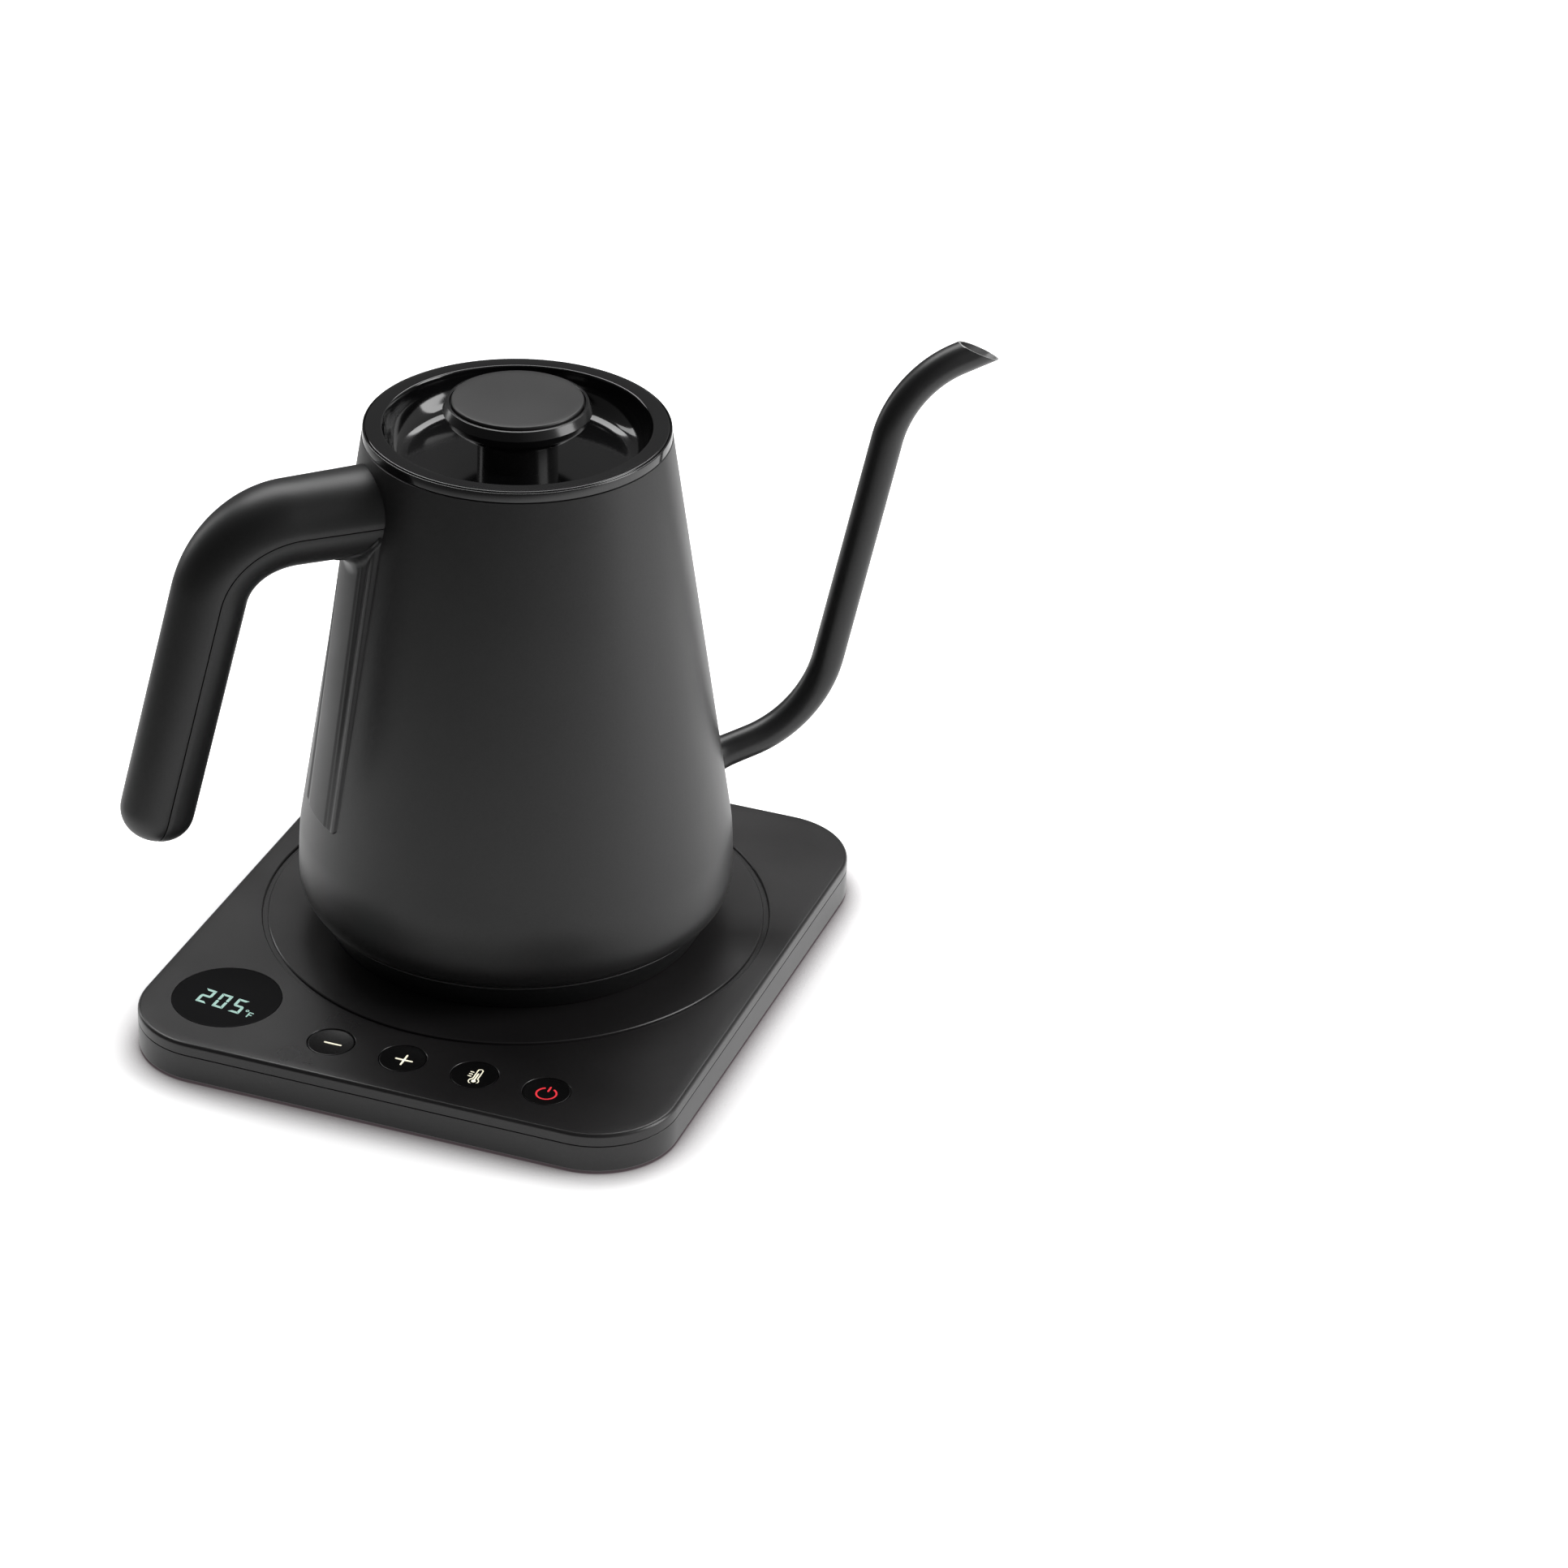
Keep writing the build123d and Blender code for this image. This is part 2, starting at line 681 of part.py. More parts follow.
def handle_shells():
    """Outer and inner half shells, split along the parting line."""
    form = handle_form(0, handle_end)
    form = fillet(form.edges().group_by(Axis.Z)[0], handle_end_round)
    short = Vector(handle_end[0] - handle_corner[0], handle_end[1] - handle_corner[1])
    back = short.normalized() * (2 * handle_skin)
    hollow = handle_form(handle_skin, (handle_end[0] - back.X, handle_end[1] - back.Y))
    skin = form - hollow - body_solid(0.02)
    outside = handle_outside_region()
    outer = skin & outside
    inner = skin - outside
    return outer, inner, hollow


def spine_form():
    """Cover strip down the body: a raised middle with a lower flange on each side."""
    def strip(half_width, top_rise, low_rise):
        low_r, low_z = shell_belly[-1]
        slope = (shell_top_radius - low_r) / (shell_top_z - low_z)

        def radius(z):
            return low_r + (z - low_z) * slope

        low = radius(spine_low_z)
        high = radius(spine_high_z)
        ring = turned([(low + 0.02, spine_low_z), (low + low_rise, spine_low_z),
                       (high + top_rise, spine_high_z), (high + 0.02, spine_high_z)])
        return ring & brick(80, 2 * half_width, 0, 200, -60, 0)

    return strip(spine_half_width, 1.3, 0.5) + strip(rib_half_width, 2.2, 0.8)


def handle_core():
    """Metal bar inside the handle, with the pad that is welded to the body."""
    root, bend, grip = handle_pieces_of_path(handle_root, (-106.8, 78.8))
    path = Wire([root.edge(), bend.edge(), grip.edge()])
    start = Plane(origin=path @ 0, x_dir=(0, 1, 0), z_dir=path % 0)
    bar = sweep(start * RectangleRounded(12, 6, 1.5), path=path)
    pad = brick(14, 18, 138, 153, -50, 0) - body_solid(0.02)
    pad = pad & body_solid(2.0)
    return (bar - body_solid(0.02)) + pad


def handle_nodes():
    outer, inner, hollow = handle_shells()
    inner += spine_form() - hollow
    core = handle_core()
    return {
        "handle_outer_shell": kettle_seat * (outer - core),
        "handle_inner_shell": kettle_seat * (inner - outer - core),
        "handle_core": kettle_seat * core,
    }


# ---------------------------------------------------------------- rim and lid
def rim_collar():
    """Gloss ring on the body's top edge, with the sleeve the lid drops into."""
    band = turned([(44.6, 163.6), (44.6, 164.8), (44.8, 165.0), (45.05, 164.75),
                   (45.25, 162.2), (44.3, 162.2), (44.2, 158.4), (42.9, 158.4), (42.9, 150.5),
                   (sleeve_inner, 150.5), (sleeve_inner, 163.6)])
    return kettle_seat * band


def lid_dish():
    """Dished lid: a flat outer ring and a curved wall down to a flat floor."""
    under = rim_z - 1.5
    wall_top = (dish_radius - 0.6, 0, rim_z - 0.5)
    floor_edge = (dish_floor_radius, 0, dish_floor_z)
    below = dish_floor_z - lid_sheet
    inside = Spline([wall_top, floor_edge], tangents=[(-0.16, 0, -1), (-1, 0, 0)])
    outside = Spline([(dish_floor_radius + 0.6, 0, below), (dish_radius + 1.0, 0, rim_z - 3.5)],
                     tangents=[(1, 0, 0), (0.1, 0, 1)])
    edge = Polyline((0, 0, below), outside @ 0)
    ring = Polyline(outside @ 1, (dish_radius + 1.0, 0, under), (lid_radius - 0.3, 0, under),
                    (lid_radius, 0, under + 0.3), (lid_radius, 0, rim_z - 0.4),
                    (lid_radius - 0.4, 0, rim_z), (dish_radius, 0, rim_z), wall_top)
    middle = Polyline(floor_edge, (0, 0, dish_floor_z), (0, 0, below))
    dish = revolve(side_face(edge + outside + ring + inside + middle), Axis.Z)
    return kettle_seat * (dish - upright(2.2, 100, 200))


def lid_underside():
    """Shallow cup that closes the lid below and carries the seal."""
    below = dish_floor_z - lid_sheet
    cup = turned([(0, 146.0), (36.5, 146.0), (38.0, 147.2), (38.0, 150.2), (32.6, below),
                  (31.0, below), (31.0, 147.6), (0, 147.6)])
    cup += upright(6.0, 147.0, below)
    cup -= upright(2.2, 100, 200)
    return kettle_seat * cup


def lid_gasket():
    """Soft ring around the cup, just clear of the sleeve."""
    ring = turned([(38.05, 147.6), (39.6, 147.6), (41.05, 148.6), (39.6, 149.6), (38.05, 149.6)])
    return kettle_seat * ring


def knob():
    """Mushroom knob: a bevelled disc on a round neck, hollowed for the screw."""
    base = dish_floor_z
    profile = [(2.6, base), (neck_radius + 0.8, base), (neck_radius, base + 0.8),
               (neck_radius, 163.2), (13.2, 164.6), (17.6, 165.6), (20.2, 167.2), (21.5, 169.6),
               (knob_radius, 170.3), (20.7, 172.6), (20.3, 172.9), (inset_radius + 0.35, 172.8),
               (inset_radius + 0.35, 170.9), (2.6, 170.9)]
    head = turned(profile)
    head += washer(1.82, 3.4, base, 166.0)
    return kettle_seat * head


def knob_inset():
    disc = upright(inset_radius, 170.9, knob_top_z)
    disc = fillet(disc.edges().group_by(Axis.Z)[-1], 0.5)
    return kettle_seat * disc


def lid_screw():
    screw = upright(4.0, 144.2, 146.0) + upright(1.8, 145.9, 164.0)
    screw = fillet(screw.edges().group_by(Axis.Z)[0], 0.8)
    screw -= brick(5.0, 0.9, 144, 145.2) + brick(0.9, 5.0, 144, 145.2)
    return kettle_seat * screw


# ---------------------------------------------------------------- all nodes
nodes = {
    "base_bottom_cover": base_bottom_cover(),
    "base_top_cover": base_top_cover(),
    "feet": feet(),
    "base_screws": base_screws(),
    "display_lens": display_lens(),
    "display_module": display_module(),
    "display_digits": display_digits(),
    "control_board": control_board(),
    "tact_switches": tact_switches(),
    "power_board": power_board(),
    "power_parts": power_parts(),
    "triac": triac(),
    "base_connector": base_connector(),
    "base_contacts": base_contacts(),
    "connector_shutter": connector_shutter(),
    "base_wires": base_wires(),
    "strain_relief": strain_relief(),
    "power_cord": power_cord(),
    "plug_body": plug_body(),
    "plug_blades": plug_blades(),
    "body_shell": body_shell(),
    "vessel_floor": vessel_floor(),
    "heater_plate": heater_plate(),
    "heating_element": heating_element(),
    "temperature_probe": temperature_probe(),
    "thermal_control": thermal_control(),
    "thermal_cutouts": thermal_cutouts(),
    "heater_bracket": heater_bracket(),
    "kettle_connector": kettle_connector(),
    "kettle_contacts": kettle_contacts(),
    "kettle_wires": kettle_wires(),
    "bottom_cover": bottom_cover(),
    "bottom_screws": bottom_screws(),
    "spout_tube": spout_tube(),
    "rim_collar": rim_collar(),
    "lid_dish": lid_dish(),
    "lid_underside": lid_underside(),
    "lid_gasket": lid_gasket(),
    "knob": knob(),
    "knob_inset": knob_inset(),
    "lid_screw": lid_screw(),
}
for name in button_spots:
    nodes["button_" + name] = button(name)
    nodes["plunger_" + name] = plunger(name)
nodes.update(handle_nodes())

os.makedirs("parts", exist_ok=True)
for name, shape in nodes.items():
    export_step(shape, "parts/" + name + ".step")
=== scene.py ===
import json
import math

import bmesh
import bpy
from mathutils import Matrix, Vector


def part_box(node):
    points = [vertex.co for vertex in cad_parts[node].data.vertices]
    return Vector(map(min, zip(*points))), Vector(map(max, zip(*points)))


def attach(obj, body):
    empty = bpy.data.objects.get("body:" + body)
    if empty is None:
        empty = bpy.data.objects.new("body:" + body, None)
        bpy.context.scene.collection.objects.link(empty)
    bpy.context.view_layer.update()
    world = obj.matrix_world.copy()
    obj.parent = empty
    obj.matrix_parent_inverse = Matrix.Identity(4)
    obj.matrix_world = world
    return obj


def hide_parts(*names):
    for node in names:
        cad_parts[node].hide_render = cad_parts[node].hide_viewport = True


# Gooseneck kettle on its heating base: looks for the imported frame. Sizes below are
# in millimetres and become metres when a mesh is made.

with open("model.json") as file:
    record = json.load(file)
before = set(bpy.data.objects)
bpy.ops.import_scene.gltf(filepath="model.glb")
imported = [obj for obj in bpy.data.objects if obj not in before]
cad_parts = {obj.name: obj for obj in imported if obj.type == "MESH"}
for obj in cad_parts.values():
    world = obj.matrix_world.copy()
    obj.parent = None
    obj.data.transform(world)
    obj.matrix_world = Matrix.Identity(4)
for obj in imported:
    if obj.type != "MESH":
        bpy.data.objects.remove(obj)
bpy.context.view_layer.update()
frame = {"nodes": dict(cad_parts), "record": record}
NODES = frame["nodes"]
MM = 0.001
ROUND_STEPS = 192            # sides of a turned piece


def node_box(name):
    """Lowest and highest corner of a CAD node in millimetres."""
    low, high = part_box(name)
    return [v / MM for v in low], [v / MM for v in high]


# ---------------------------------------------------------------- places from the CAD
BASE_LOW, BASE_HIGH = node_box("base_bottom_cover")
PLATE_Z = node_box("base_top_cover")[1][2]
SEAM_Z = BASE_HIGH[2]
BOTTOM_Z = BASE_LOW[2]
HALF_WIDTH = (BASE_HIGH[0] - BASE_LOW[0]) / 2
HALF_DEPTH = (BASE_HIGH[1] - BASE_LOW[1]) / 2
SHELL_LOW, SHELL_HIGH = node_box("body_shell")
AXIS_X = (SHELL_LOW[0] + SHELL_HIGH[0]) / 2
AXIS_Y = (SHELL_LOW[1] + SHELL_HIGH[1]) / 2
KETTLE_TURN = math.radians(43.0)
BASE_CORNER = 25.0
BUTTON_NAMES = ("minus", "plus", "temperature", "power")

KETTLE = Matrix.Translation((AXIS_X, AXIS_Y, PLATE_Z)) @ Matrix.Rotation(KETTLE_TURN, 4, "Z")


def spot_on_base(node):
    """Matrix at a node's centre, on the level of the plate."""
    low, high = node_box(node)
    return Matrix.Translation(((low[0] + high[0]) / 2, (low[1] + high[1]) / 2, PLATE_Z))


# ---------------------------------------------------------------- material building
def new_material(name):
    """A material with its tree, its main shader and the piece's own coordinates."""
    material = bpy.data.materials.new(name)
    material.use_nodes = True
    tree = material.node_tree
    shader = tree.nodes["Principled BSDF"]
    coords = tree.nodes.new("ShaderNodeTexCoord")
    return material, tree, shader, coords.outputs["Object"]


def noise(tree, coords, scale, detail=3.0, stretch=None):
    """Noise value at a number of features per metre, stretched along an axis if asked."""
    source = coords
    if stretch:
        mapping = tree.nodes.new("ShaderNodeMapping")
        mapping.inputs["Scale"].default_value = stretch
        tree.links.new(coords, mapping.inputs["Vector"])
        source = mapping.outputs["Vector"]
    node = tree.nodes.new("ShaderNodeTexNoise")
    node.inputs["Scale"].default_value = scale
    node.inputs["Detail"].default_value = detail
    tree.links.new(source, node.inputs["Vector"])
    return node.outputs["Fac"]


def remap(tree, value, low, high, start=0.3, end=0.7):
    """A value stretched from its usual range to a wanted one."""
    node = tree.nodes.new("ShaderNodeMapRange")
    node.inputs["From Min"].default_value = start
    node.inputs["From Max"].default_value = end
    node.inputs["To Min"].default_value = low
    node.inputs["To Max"].default_value = high
    tree.links.new(value, node.inputs["Value"])
    return node.outputs["Result"]


def tint(tree, value, dark, light, start=0.3, end=0.7):
    """Colour between two tones, led by a value."""
    node = tree.nodes.new("ShaderNodeValToRGB")
    ramp = node.color_ramp
    ramp.elements[0].position = start
    ramp.elements[0].color = (*dark, 1)
    ramp.elements[1].position = end
    ramp.elements[1].color = (*light, 1)
    tree.links.new(value, node.inputs["Fac"])
    return node.outputs["Color"]


def bumps(tree, shader, layers):
    """Stacked bumps from (height value, strength, distance in metres)."""
    last = None
    for value, strength, distance in layers:
        node = tree.nodes.new("ShaderNodeBump")
        node.inputs["Strength"].default_value = strength
        node.inputs["Distance"].default_value = distance
        tree.links.new(value, node.inputs["Height"])
        if last:
            tree.links.new(last, node.inputs["Normal"])
        last = node.outputs["Normal"]
    tree.links.new(last, shader.inputs["Normal"])


def mixed(tree, first, second, factor, blend="MIX", data="RGBA"):
    """Two colours or two numbers mixed by a factor; each may be a socket or a plain value."""
    node = tree.nodes.new("ShaderNodeMix")
    node.data_type = data
    node.blend_type = blend
    for name, value in (("Factor", factor), ("A", first), ("B", second)):
        if isinstance(value, bpy.types.NodeSocket):
            tree.links.new(value, node.inputs[name])
        else:
            node.inputs[name].default_value = value
    return node.outputs["Result"]


TONE_SPREAD = 0.12           # how far a coat's tone strays either way, as a share
SPECK_TONES = ((0.72, 0.72, 0.72), (1.15, 1.15, 1.15))
SPECK_SHARE = 0.6


def grained(name, tone, rough, grain_size, grain, specular=0.5):
    """Dark coat or moulded plastic with an even grain, cloudy tone and cloudy sheen."""
    material, tree, shader, coords = new_material(name)
    fine = noise(tree, coords, 1 / (grain_size * MM), 2.0)
    cloud = noise(tree, coords, 26.0, 4.0)
    speck = noise(tree, coords, 0.45 / (grain_size * MM), 3.0)
    dark = [c * (1 - TONE_SPREAD) for c in tone]
    light = [c * (1 + TONE_SPREAD) for c in tone]
    clouded = tint(tree, cloud, dark, light)
    specked = tint(tree, speck, *SPECK_TONES)
    colour = mixed(tree, clouded, specked, SPECK_SHARE, "MULTIPLY")
    tree.links.new(colour, shader.inputs["Base Color"])
    tree.links.new(remap(tree, cloud, rough - 0.03, rough + 0.03), shader.inputs["Roughness"])
    shader.inputs["Specular IOR Level"].default_value = specular
    bumps(tree, shader, [(cloud, 0.05, 0.0004), (fine, grain, 0.00006)])
    return material


def gloss_plastic(name, tone, rough=0.06, specular=0.5):
    """Polished moulded plastic: slight waviness and a few duller patches."""
    material, tree, shader, coords = new_material(name)
    wave = noise(tree, coords, 60.0, 2.0)
    wipe = noise(tree, coords, 14.0, 5.0)
    hair = noise(tree, coords, 900.0, 3.0, stretch=(1, 0.06, 1))
    light = [c * 1.5 for c in tone]
    tree.links.new(tint(tree, wipe, tone, light), shader.inputs["Base Color"])
    tree.links.new(remap(tree, wipe, rough, rough + 0.07), shader.inputs["Roughness"])
    shader.inputs["Specular IOR Level"].default_value = specular
    bumps(tree, shader, [(wave, 0.06, 0.0003), (hair, 0.03, 0.00002)])
    return material


def metal(name, tone, rough=0.28, lines=2600.0, stretch=(1, 1, 0.04)):
    """Bare metal with fine drawn lines and slightly uneven tone."""
    material, tree, shader, coords = new_material(name)
    drawn = noise(tree, coords, lines, 4.0, stretch=stretch)
    cloud = noise(tree, coords, 40.0, 3.0)
    dark = [c * 0.86 for c in tone]
    tree.links.new(tint(tree, cloud, dark, tone), shader.inputs["Base Color"])
    tree.links.new(remap(tree, drawn, rough - 0.06, rough + 0.08), shader.inputs["Roughness"])
    shader.inputs["Metallic"].default_value = 1.0
    bumps(tree, shader, [(drawn, 0.12, 0.00003)])
    return material


def rubber(name, tone, rough=0.72, specular=0.3):
    """Soft rubber with a bloom of paler dust."""
    material, tree, shader, coords = new_material(name)
    bloom = noise(tree, coords, 220.0, 5.0)
    fine = noise(tree, coords, 3200.0, 2.0)
    light = [c * 1.5 + 0.008 for c in tone]
    tree.links.new(tint(tree, bloom, tone, light), shader.inputs["Base Color"])
    tree.links.new(remap(tree, bloom, rough - 0.05, rough + 0.08), shader.inputs["Roughness"])
    shader.inputs["Specular IOR Level"].default_value = specular
    bumps(tree, shader, [(fine, 0.15, 0.00004)])
    return material


def circuit_board_material(name):
    """Solder mask with copper tracks showing through as a paler grid."""
    material, tree, shader, coords = new_material(name)
    tracks = tree.nodes.new("ShaderNodeTexBrick")
    tracks.inputs["Scale"].default_value = 260.0
    tracks.inputs["Mortar Size"].default_value = 0.03
    tracks.inputs["Color1"].default_value = (0.012, 0.11, 0.04, 1)
    tracks.inputs["Color2"].default_value = (0.016, 0.14, 0.05, 1)
    tracks.inputs["Mortar"].default_value = (0.05, 0.26, 0.1, 1)
    tree.links.new(coords, tracks.inputs["Vector"])
    tree.links.new(tracks.outputs["Color"], shader.inputs["Base Color"])
    cloud = noise(tree, coords, 90.0)
    tree.links.new(remap(tree, cloud, 0.25, 0.38), shader.inputs["Roughness"])
    bumps(tree, shader, [(tracks.outputs["Fac"], 0.25, 0.00003)])
    return material


def lit_print(name, colour, strength):
    """Backlit print: an even glow, a little uneven like a diffuser behind it."""
    material, tree, shader, coords = new_material(name)
    cloud = noise(tree, coords, 500.0, 2.0)
    dim = [c * 0.86 for c in colour]
    glow = tint(tree, cloud, dim, colour)
    tree.links.new(glow, shader.inputs["Base Color"])
    tree.links.new(glow, shader.inputs["Emission Color"])
    shader.inputs["Emission Strength"].default_value = strength
    tree.links.new(remap(tree, cloud, 0.4, 0.55), shader.inputs["Roughness"])
    return material


FLOOR_GLOW = 0.42            # extra light the object gets from the floor close by
FLOOR_SHOWN = 0.85           # extra light the camera gets from the floor
FLOOR_FAR = 0.15             # share of the close glow that is left far away
GLOW_CENTRE = (0.17, 0.02, 0.0)
FADE_START = 0.40            # metres from that centre where the floor's light starts to fade
FADE_END = 0.70
FLOOR_TONES = ((0.91, 0.91, 0.91), (0.94, 0.94, 0.94))
SHADE_REACH = 0.060          # metres over which a thing standing close shades the floor
SHADE_TONE = (0.07, 0.055, 0.06)
SHADE_START = 0.42           # share of open view where the shade is full
SHADE_END = 0.99


def floor_material():
    """Glowing pale sweep with a faint mottle, shaded softly where something stands close."""
    material, tree, shader, coords = new_material("pale_floor")
    cloud = noise(tree, coords, 3.0, 5.0)
    close = tree.nodes.new("ShaderNodeAmbientOcclusion")
    close.samples = 16
    close.inputs["Distance"].default_value = SHADE_REACH
    shade = tint(tree, close.outputs["AO"], SHADE_TONE, (1, 1, 1), SHADE_START, SHADE_END)
    direct = tree.nodes.new("ShaderNodeLightPath").outputs["Is Camera Ray"]
    paper = mixed(tree, tint(tree, cloud, *FLOOR_TONES), shade, direct, "MULTIPLY")
    away = tree.nodes.new("ShaderNodeVectorMath")
    away.operation = "DISTANCE"
    away.inputs[1].default_value = GLOW_CENTRE
    tree.links.new(coords, away.inputs[0])
    fade = remap(tree, away.outputs["Value"], 1.0, FLOOR_FAR, FADE_START, FADE_END)
    share = mixed(tree, fade, 1.0, direct, data="FLOAT")
    shown = mixed(tree, (0, 0, 0, 1), paper, share)
    tree.links.new(shown, shader.inputs["Base Color"])
    tree.links.new(shown, shader.inputs["Emission Color"])
    strength = mixed(tree, FLOOR_GLOW, FLOOR_SHOWN, direct, data="FLOAT")
    tree.links.new(strength, shader.inputs["Emission Strength"])
    shader.inputs["Roughness"].default_value = 0.8
    shader.inputs["Specular IOR Level"].default_value = 0.1
    return material


# Each look is its builder and the builder's values after the name.
RECIPES = {
    "body_coat": (grained, (0.0106, 0.0104, 0.0107), 0.38, 0.30, 0.12),
    "spout_coat": (grained, (0.0090, 0.0090, 0.0094), 0.36, 0.30, 0.12),
    "base_plastic": (grained, (0.0150, 0.0141, 0.0146), 0.30, 0.22, 0.07),
    "button_plastic": (grained, (0.0050, 0.0048, 0.0050), 0.28, 0.22, 0.06, 0.28),
    "bottom_plastic": (grained, (0.0080, 0.0080, 0.0085), 0.42, 0.25, 0.08),
    "handle_plastic": (grained, (0.0085, 0.0085, 0.0088), 0.41, 0.35, 0.05),
    "knob_plastic": (grained, (0.0060, 0.0060, 0.0063), 0.20, 0.35, 0.03),
    "knob_disc": (grained, (0.0130, 0.0128, 0.0130), 0.36, 0.30, 0.06),
    "black_plastic": (grained, (0.0100, 0.0100, 0.0105), 0.5, 0.3, 0.1),
    "connector_plastic": (grained, (0.0120, 0.0120, 0.0125), 0.42, 0.3, 0.1),
    "gloss_black": (gloss_plastic, (0.0035, 0.0035, 0.0038), 0.07, 0.7),
    "display_window": (gloss_plastic, (0.0080, 0.0080, 0.0084), 0.22, 0.03),
    "digit_light": (lit_print, (0.26, 0.42, 0.37), 0.9),
    "symbol_light": (lit_print, (0.84, 0.81, 0.64), 0.95),
    "power_light": (lit_print, (0.64, 0.028, 0.040), 0.95),
    "plain_steel": (metal, (0.60, 0.60, 0.60)),
    # bore_steel is the spout's own steel painted darker inside the tube: painted shade
    "bore_steel": (metal, (0.17, 0.17, 0.17), 0.60),
    "bare_steel": (metal, (0.80, 0.80, 0.80), 0.38),
    "zinc_steel": (metal, (0.55, 0.56, 0.58), 0.32),
    "plain_aluminium": (metal, (0.70, 0.70, 0.71), 0.42, 900.0, (1, 1, 1)),
    "contact_brass": (metal, (0.72, 0.53, 0.25), 0.25),
    "seal_rubber": (rubber, (0.55, 0.54, 0.52), 0.5, 0.5),
    "rubber_feet": (rubber, (0.02, 0.02, 0.02)),
    "cord_rubber": (rubber, (0.014, 0.014, 0.015), 0.55, 0.4),
    "wire_cover": (rubber, (0.35, 0.02, 0.015), 0.45, 0.5),
    "circuit_board": (circuit_board_material,),
}
LOOKS = {name: build(name, *values) for name, (build, *values) in RECIPES.items()}


# ---------------------------------------------------------------- mesh building
def rounded(points, steps=8):
    """Line through (x, y) or (x, y, radius) points with the given corners rounded."""
    line = []
    for i, point in enumerate(points):
        here = Vector(point[:2])
        radius = point[2] if len(point) > 2 else 0
        if radius == 0 or i in (0, len(points) - 1):
            line.append(here)
            continue
        back = Vector(points[i - 1][:2]) - here
        ahead = Vector(points[i + 1][:2]) - here
        half = back.angle(ahead) / 2
        reach = min(radius / math.tan(half), back.length * 0.98, ahead.length * 0.98)
        radius = reach * math.tan(half)
        centre = here + (back.normalized() + ahead.normalized()).normalized() * radius / math.sin(half)
        first = here + back.normalized() * reach - centre
        last = here + ahead.normalized() * reach - centre
        sweep = first.angle_signed(last)
        for k in range(steps + 1):
            turn = -sweep * k / steps
            line.append(centre + Matrix.Rotation(turn, 2) @ first)
    return line


def curve_through(points, start, end, steps=8):
    """Smooth curve through points, leaving and arriving in given directions."""
    spots = [Vector(p) for p in points]
    slopes = []
    for i, spot in enumerate(spots):
        if i == 0:
            slope = Vector(start).normalized() * (spots[1] - spot).length
        elif i == len(spots) - 1:
            slope = Vector(end).normalized() * (spot - spots[i - 1]).length
        else:
            slope = (spots[i + 1] - spots[i - 1]) / 2
        slopes.append(slope)
    line = [spots[0]]
    for a, b, u, v in zip(spots, spots[1:], slopes, slopes[1:]):
        for k in range(1, steps + 1):
            t = k / steps
            line.append(a * (2 * t**3 - 3 * t**2 + 1) + u * (t**3 - 2 * t**2 + t)
                        + b * (3 * t**2 - 2 * t**3) + v * (t**3 - t**2))
    return line


def keep(mesh, name, body, look, stands_for=(), crease=35.0):
    """Turns a bmesh into a finished piece that rides on a body."""
    bmesh.ops.recalc_face_normals(mesh, faces=mesh.faces)
    data = bpy.data.meshes.new(name)
    mesh.to_mesh(data)
    mesh.free()
    data.polygons.foreach_set("use_smooth", [True] * len(data.polygons))
    data.set_sharp_from_angle(angle=math.radians(crease))
    piece = bpy.data.objects.new(name, data)
    bpy.context.scene.collection.objects.link(piece)
    data.materials.append(LOOKS[look])
    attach(piece, body)
    if stands_for:
        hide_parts(*stands_for)
    return piece


def strip_of_rings(mesh, rings, closed_line=False, closed_rings=True):
    """Faces between rings of vertices; a ring of one vertex is a pole."""
    pairs = list(zip(rings, rings[1:]))
    if closed_line:
        pairs.append((rings[-1], rings[0]))
    for a, b in pairs:
        count = max(len(a), len(b))
        last = count if closed_rings else count - 1
        for k in range(last):
            n = (k + 1) % count
            if len(a) == 1 and len(b) == 1:
                continue
            if len(a) == 1:
                corners = [a[0], b[k], b[n]]
            elif len(b) == 1:
                corners = [a[k], b[0], a[n]]
            else:
                corners = [a[k], b[k], b[n], a[n]]
            mesh.faces.new(corners)


def turned(outline, place=KETTLE, steps=ROUND_STEPS):
    """Solid of revolution from a closed outline of (radius, height) points."""
    mesh = bmesh.new()
    rings = []
    for radius, height in outline:
        if radius < 1e-4:
            ring = [mesh.verts.new(place @ Vector((0, 0, height)) * MM)]
        else:
            ring = []
            for k in range(steps):
                angle = 2 * math.pi * k / steps
                spot = Vector((radius * math.cos(angle), radius * math.sin(angle), height))
                ring.append(mesh.verts.new(place @ spot * MM))
        rings.append(ring)
    strip_of_rings(mesh, rings, closed_line=True)
    return mesh


def corner_loop(inset, height, steps=20):
    """Points round the base's rounded square, brought in by an inset."""
    loop = []
    radius = BASE_CORNER - inset
    for quarter in range(4):
        angle = math.pi / 2 * quarter
        side_x = 1 if quarter in (0, 3) else -1
        side_y = 1 if quarter in (0, 1) else -1
        centre = (side_x * (HALF_WIDTH - BASE_CORNER), side_y * (HALF_DEPTH - BASE_CORNER))
        for k in range(steps + 1):
            turn = angle + math.pi / 2 * k / steps
            loop.append(Vector((centre[0] + radius * math.cos(turn),
                                centre[1] + radius * math.sin(turn), height)))
    return loop


def slab(line):
    """Closed shell over the base's outline from (inset, height) points; ends are filled flat."""
    mesh = bmesh.new()
    rings = []
    for inset, height in line:
        rings.append([mesh.verts.new(spot * MM) for spot in corner_loop(inset, height)])
    strip_of_rings(mesh, rings)
    mesh.faces.new(rings[0])
    mesh.faces.new(rings[-1])
    return mesh


